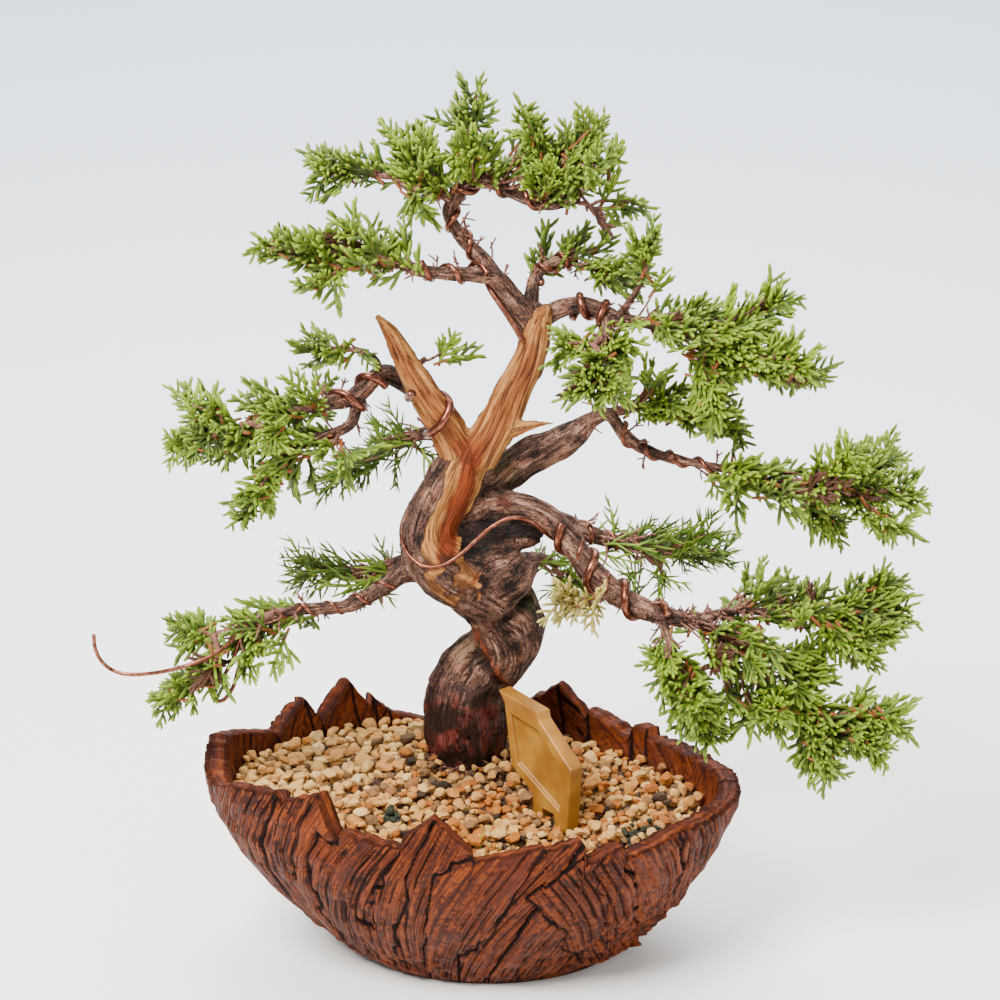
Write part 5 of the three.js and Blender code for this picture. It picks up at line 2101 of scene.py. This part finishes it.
    def _column(self, angle: float) -> list[tuple[Vector, Relief]]:
        """Works out one column of the bowl, from the foot's middle over the rim to the floor's.

        Args:
            angle: The angle round the bowl.

        Returns:
            The place and the relief of each vertex.
        """
        rim = self._rim(angle)
        plain = Relief(0, 0.25, 0, Vector((math.degrees(angle) * self.arc * MM, 0, 0)))
        made = [(self._at(angle, self.foot * k / self.foot_rows, 0), plain) for k in range(self.foot_rows)]
        for k in range(self.wall_rows):
            height = rim * k / (self.wall_rows - 1)
            relief = self._outside(angle, height, rim)
            made.append((self._at(angle, self.outer(height) + relief.rise, height), relief))
        outer = self.outer(rim) + made[-1][1].rise
        top = self._inside(angle, rim, rim)
        inner = min(self.inner(rim) - top.rise, outer - self.thinnest)
        for k in range(1, self.lip_rows):
            share = k / self.lip_rows
            turn = math.degrees(angle)
            chip = 0.5 * noise.noise(Vector((turn * self.arc / 3.2, share * 2, 7)))
            height = rim + 0.8 * math.sin(math.pi * share) + chip
            # the lip's chips are painted as shade, and its edge as a highlight
            lip = Relief(0, clamp(-chip), 0.6, Vector((share * 3, turn * self.arc, 0)) * MM)
            made.append((self._at(angle, mix(outer, inner, share), height), lip))
        for k in range(self.inside_rows + 1):
            height = mix(rim, self.floor, (k / self.inside_rows) ** 1.7)
            relief = self._inside(angle, height, rim)
            reach = min(self.inner(height) - relief.rise, self.outer(height) - self.thinnest)
            made.append((self._at(angle, reach, height), relief))
        edge = self.inner(self.floor)
        for k in range(1, self.floor_rows + 1):
            made.append((self._at(angle, edge * (1 - k / self.floor_rows), self.floor), plain))
        return made

    def _bore(self, bowl: Object) -> None:
        """Cuts the two drainage holes under the frame's nets.

        Args:
            bowl: The bowl.
        """
        drills = bmesh.new()
        for node in DRAIN_NETS:
            low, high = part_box(node)
            middle = (low + high) / 2
            bmesh.ops.create_cone(
                drills, cap_ends=True, segments=40, radius1=self.hole, radius2=self.hole, depth=30 * MM,
                matrix=Matrix.Translation((middle.x, middle.y, 0)),
            )
        drill = placed("drills", mesh_of(drills, "drills"))
        bore = bowl.modifiers.new("Bore", "BOOLEAN")
        bore.operation = "DIFFERENCE"
        bore.solver = "MANIFOLD"
        bore.object = drill
        evaluated = bowl.evaluated_get(bpy.context.evaluated_depsgraph_get())
        bored = bpy.data.meshes.new_from_object(evaluated)
        bowl.modifiers.clear()
        bowl.data = bored
        bpy.data.objects.remove(drill)


# ---- the soil


@dataclass
class GranularSoil:
    """Loose granules heaped on the frame's soil, with moss, rootlets and a few blades of grass."""

    smallest: float = 1.35 * MM
    largest: float = 3.1 * MM
    forms: int = 14
    tries: int = 15000
    packing: float = 0.74
    coarse_left: float = -30 * MM  # left of which no stone is small
    coarse: float = 1.9 * MM
    surface: float = 58 * MM  # height to use where the bed isn't found
    trunk: Vector = field(default_factory=lambda: Vector((-3, 32, 0)) * MM)
    clumps: tuple[tuple[float, float, float], ...] = (
        (-19, -36, 4.5), (-31, -25, 3.5), (62, -22, 5.5), (57, -27, 4)
    )
    blades: tuple[tuple[float, float, float], ...] = ((2, -41, 9), (4, -44, 5), (56, 6, 8))

    def build(self) -> None:
        """Builds the bed, the granules and what lies among them."""
        self.bed = node_tree_of("soil")
        self.wood = node_tree_of("tree")
        self.tag = node_tree_of("plant_label")
        self.wall = node_tree_of("pot")
        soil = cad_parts["soil"]
        soil.data.materials.clear()
        soil.data.materials.append(SOIL_BED.material())
        rng = Random(21)
        self._granules(rng)
        self._clumps(rng)
        self._rootlets(rng)
        self._grass()

    def _height(self, x: float, y: float) -> float | None:
        """The soil's height at a place, or None off the soil."""
        found = self.bed.ray_cast(Vector((x, y, 0.12)), -UP)[0]
        return found.z if found and found.z > 40 * MM else None

    def _stone(self, rng: Random, name: str) -> Mesh:
        """Makes one form of stone: a faceted, pitted pebble of unit size.

        Args:
            rng: Its chances.
            name: The mesh's name.

        Returns:
            The form.
        """
        bm = bmesh.new()
        bmesh.ops.create_icosphere(bm, subdivisions=2, radius=1.0)
        seed = Vector([rng.uniform(0, 99) for _ in range(3)])
        stretch = Vector((rng.uniform(1.0, 1.3), rng.uniform(0.8, 1.0), rng.uniform(0.62, 0.85)))
        breaks = [Vector([rng.gauss(0, 1) for _ in range(3)]).normalized() for _ in range(9)]
        for vert in bm.verts:
            vert.co *= 1.1 + 0.25 * noise.noise(vert.co * 1.1 + seed)
            for out in breaks:
                vert.co -= out * max(0.0, vert.co.dot(out) - 0.7)
            vert.co *= 1 + 0.16 * noise.noise(vert.co * 3.1 + seed)
            vert.co = vert.co * stretch
        return mesh_of(bm, name)

    def _spots(self, rng: Random) -> list[tuple[Vector, float]]:
        """Scatters stones so that each only just touches its neighbours, in two layers.

        Args:
            rng: Its chances.

        Returns:
            The place and the size of each stone.
        """
        low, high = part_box("soil")
        spots: list[tuple[Vector, float]] = []
        cell = 2 * self.largest
        for layer in range(2):
            grid: dict[tuple[int, int], list[tuple[float, float, float]]] = {}
            for _ in range(self.tries):
                x, y = rng.uniform(low.x, high.x), rng.uniform(low.y, high.y)
                height = self._height(x, y)
                if height is None:
                    continue
                size = mix(self.smallest, self.largest, rng.random() ** 1.6)
                if x < self.coarse_left:
                    size = max(size, self.coarse)
                key = (int(x // cell), int(y // cell))
                cells = [(key[0] + i, key[1] + j) for i in (-1, 0, 1) for j in (-1, 0, 1)]
                near = [stone for place in cells for stone in grid.get(place, [])]
                if any(math.hypot(x - a, y - b) < self.packing * (size + c) for a, b, c in near):
                    continue
                lift = (0.15 if layer == 0 else 1.25) * size + (0 if layer == 0 else 0.6 * MM)
                spot = Vector((x, y, height + lift))
                if self._blocked(spot, size) or (layer and rng.random() < 0.25):
                    continue
                grid.setdefault(key, []).append((x, y, size))
                spots.append((spot, size))
        return spots

    def _blocked(self, spot: Vector, size: float) -> bool:
        """Says whether a stone would stand in the trunk, the label or the wall.

        Args:
            spot: The stone's place.
            size: Its size.

        Returns:
            Whether it would.
        """
        for tree, clear in ((self.wood, 0.45), (self.tag, 0.7), (self.wall, 0.4)):
            if tree.find_nearest(spot)[3] < clear * size:
                return True
        inside = self.wood.ray_cast(spot, UP)
        return inside[0] is not None and inside[1].z > 0

    def _granules(self, rng: Random) -> None:
        """Places the stones and gives each its tint and its damp.

        Args:
            rng: Its chances.
        """
        forms = [self._stone(rng, f"stone_{i}") for i in range(self.forms)]
        bm = bmesh.new()
        tints: list[tuple[int, float, float]] = []
        for spot, size in self._spots(rng):
            form = rng.choice(forms)
            turn = Matrix.Rotation(rng.uniform(0, TURN), 4, "Z")
            tilt = Matrix.Rotation(rng.uniform(-0.6, 0.6), 4, "X")
            count = stamp(bm, form, Matrix.Translation(spot) @ turn @ tilt @ Matrix.Scale(size, 4))
            away = (Vector((spot.x, spot.y, 0)) - self.trunk).length
            wet = clamp(1.25 - (away - 15 * MM) / (14 * MM)) * rng.random()
            tints.append((count, self._tint(spot, rng), wet))
        tint, damp = [bm.verts.layers.float.new(name) for name in ("tint", "damp")]
        verts = iter(bm.verts)
        for count, shade, wet in tints:
            for vert in islice(verts, count):
                vert[tint] = shade
                vert[damp] = wet
        heap = new_piece("soil_granules", bm, "granules", GranuleFinish().material())
        heap.data.polygons.foreach_set("use_smooth", [False] * len(heap.data.polygons))
        for form in forms:
            bpy.data.meshes.remove(form)

    @staticmethod
    def _tint(spot: Vector, rng: Random) -> float:
        """Draws a stone's tint: pale and dusty on the left, mixed elsewhere.

        Args:
            spot: The stone's place.
            rng: Its chances.

        Returns:
            The tint.
        """
        pale = 1 - smoothstep(-55 * MM, -20 * MM, spot.x - 0.5 * spot.y)
        draw = rng.random()
        if draw < 0.03 * (1 - pale):
            return rng.uniform(0.02, 0.08)
        if draw < 0.14 * (1 - 0.7 * pale):
            return rng.uniform(0.12, 0.26)
        if draw < 0.32 * (1 - 0.85 * pale):
            return rng.uniform(0.3, 0.44)
        return clamp(rng.gauss(mix(0.66, 0.76, pale), 0.11), 0.44, 1.0)

    def _clumps(self, rng: Random) -> None:
        """Adds the dark lumps of moss at the bowl's edge.

        Args:
            rng: Its chances.
        """
        bm = bmesh.new()
        for x, y, size in self.clumps:
            height = self._height(x * MM, y * MM) or self.surface
            for _ in range(26):
                spread = [rng.gauss(0, 0.42) * size * MM for _ in range(3)]
                spot = Vector((x * MM + spread[0], y * MM + spread[1], height + 1.5 * MM + abs(spread[2])))
                made = bmesh.ops.create_icosphere(
                    bm, subdivisions=2, radius=rng.uniform(0.7, 1.5) * MM, matrix=Matrix.Translation(spot)
                )
                for vert in made["verts"]:
                    vert.co += noise.noise_vector(vert.co / (0.9 * MM)) * 0.5 * MM
        new_piece("moss_clumps", bm, "granules", DARK_MOSS.material())

    def _rootlets(self, rng: Random) -> None:
        """Adds dark fibres round the trunk's foot.

        Args:
            rng: Its chances.
        """
        fibres = bmesh.new()
        for _ in range(60):
            angle = rng.uniform(0, TURN)
            reach = rng.uniform(15, 25) * MM
            x, y = -4 * MM + math.cos(angle) * reach, 31 * MM + math.sin(angle) * reach
            height = self._height(x, y)
            if height is None:
                continue
            heading = Vector((rng.uniform(-1, 1), rng.uniform(-1, 1), 0)).normalized()
            start = Vector((x, y, height + 2.2 * MM))
            points = []
            for k in range(4):
                lift = 1.6 * MM * math.sin(math.pi * k / 3) * rng.uniform(0.4, 1)
                swerve = stray(rng) * 0.6 * MM
                points.append((*(start + heading * (2.3 * MM * k) + UP * lift + swerve), 0.16 * MM))
            join(fibres, tube(Route.smooth(points, 0.9 * MM), 5))
        new_piece("rootlets", fibres, "bark", ROOTLET_BARK.material())

    def _grass(self) -> None:
        """Adds thin blades of grass."""
        blades = bmesh.new()
        for x, y, height in self.blades:
            base = self._height(x * MM, y * MM) or self.surface
            start = Vector((x * MM, y * MM, base))
            points = []
            for k in range(5):
                sway = Vector((0.9 * k * k, -0.3 * k, 0)) * 0.12 * MM
                points.append((*(start + sway + UP * height * MM * k / 4), (0.42 - 0.08 * k) * MM))
            join(blades, tube(Route.smooth(points, 1 * MM), 5))
        leaf = LeafFinish("grass_blades", "7a9a3a", ("8aae40", "a0c050", "b4d068"), "c8dc80")
        new_piece("grass_blades", blades, "foliage", leaf.material())


# ---- label and nets


@dataclass
class PlantLabel:
    """The blank plant label, with softly rounded edges."""

    rounding: float = 0.55 * MM

    def build(self) -> None:
        """Rounds a copy of the frame's label."""
        bm = node_copy("plant_label")
        bmesh.ops.dissolve_limit(bm, angle_limit=math.radians(2), verts=bm.verts, edges=bm.edges)
        edges = [e for e in bm.edges if e.is_manifold and e.calc_face_angle() > math.radians(20)]
        bmesh.ops.bevel(
            bm, geom=edges, offset=self.rounding, offset_type="OFFSET", affect="EDGES", segments=3,
            profile=0.5, material=-1, clamp_overlap=True,
        )
        piece = new_piece("yellow_label", bm, "label", LabelFinish().material())
        weighted = piece.modifiers.new("Even", "WEIGHTED_NORMAL")
        weighted.keep_sharp = True
        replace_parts(piece, "plant_label")


def dress_nets() -> None:
    """Gives the frame's drainage nets their finish."""
    material = DRAIN_NET.material()
    for node in DRAIN_NETS:
        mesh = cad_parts[node].data
        mesh.materials.clear()
        mesh.materials.append(material)


# ---- stage


@dataclass
class Studio:
    """The pale floor, the soft lights and the camera at the photograph's view."""

    target: Vector = field(default_factory=lambda: Vector((9.1, 0, 178)) * MM)
    distance: float = 1100 * MM
    elevation: float = math.radians(20)
    lens: float = 110.0
    sensor: float = 36.0
    floor: str = "faf2e8"
    far_floor: str = "e4eef8"
    floor_size: float = 6.0  # metres from its middle to its edge
    sky: str = "dfe9f4"
    sky_strength: float = 0.62
    lights: tuple[tuple[str, Vector, float, float], ...] = (  # place, size in metres, power in watts
        ("key", Vector((-0.55, -0.75, 1.25)), 0.6, 62),
        ("fill", Vector((1.0, -0.7, 0.7)), 1.2, 12),
        ("top", Vector((0.05, 0.35, 1.4)), 1.0, 26),
        ("wash", Vector((0, 1.9, 1.7)), 2.4, 90),
    )
    washed: Vector = field(default_factory=lambda: Vector((0, 1.7, 0)))  # the floor behind the tree

    def build(self) -> None:
        """Builds the stage."""
        self._camera()
        self._floor()
        for name, place, size, power in self.lights:
            self._light(name, place, size, power, self.washed if name == "wash" else self.target)
        world = bpy.data.worlds.new("studio")
        world.use_nodes = True
        background = world.node_tree.nodes["Background"]
        background.inputs["Color"].default_value = (*rgb(self.sky), 1)
        background.inputs["Strength"].default_value = self.sky_strength
        bpy.context.scene.world = world

    def _camera(self) -> None:
        """Sets the camera."""
        data = bpy.data.cameras.new("camera")
        data.lens = self.lens
        data.sensor_width = self.sensor
        data.clip_start = 0.05
        camera = placed("camera", data)
        away = Vector((0, -math.cos(self.elevation), math.sin(self.elevation)))
        camera.location = self.target + away * self.distance
        camera.rotation_euler = (math.pi / 2 - self.elevation, 0, 0)
        bpy.context.scene.camera = camera

    def _floor(self) -> None:
        """Lays a wide pale floor."""
        bm = bmesh.new()
        bmesh.ops.create_grid(bm, x_segments=1, y_segments=1, size=self.floor_size)
        mesh = mesh_of(bm, "floor")
        g = Graph("pale_floor")
        back = g.node("ShaderNodeSeparateXYZ", {"Vector": g.place()}, "Y")
        colour = g.blend(self.floor, self.far_floor, back.between(-0.3, 1.4))
        mesh.materials.append(g.finish(Base_Color=colour, Roughness=0.7))
        placed("floor", mesh)

    @staticmethod
    def _light(name: str, place: Vector, size: float, power: float, at: Vector) -> None:
        """Hangs a soft square light.

        Args:
            name: The light's name.
            place: Where it hangs.
            size: Its side.
            power: Its power in watts.
            at: What it faces.
        """
        data = bpy.data.lights.new(name, "AREA")
        data.size = size
        data.energy = power
        light = placed(name, data)
        light.location = place
        light.rotation_euler = (at - place).to_track_quat("-Z", "Y").to_euler()


# ---- the whole plant


def main() -> None:
    """Builds the stage and every piece."""
    logging.basicConfig(level=logging.INFO, format="%(message)s")
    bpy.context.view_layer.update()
    Studio().build()
    BarkBowl().build()
    GranularSoil().build()
    PlantLabel().build()
    dress_nets()
    Wood().build()
    wire = WireFinish().material()
    wood = node_tree_of("tree")
    for node in sorted(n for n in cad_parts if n.startswith("wire_")):
        TrainingWire(node).build(wire, wood)
    Foliage().build()


if __name__ == "__main__":
    main()
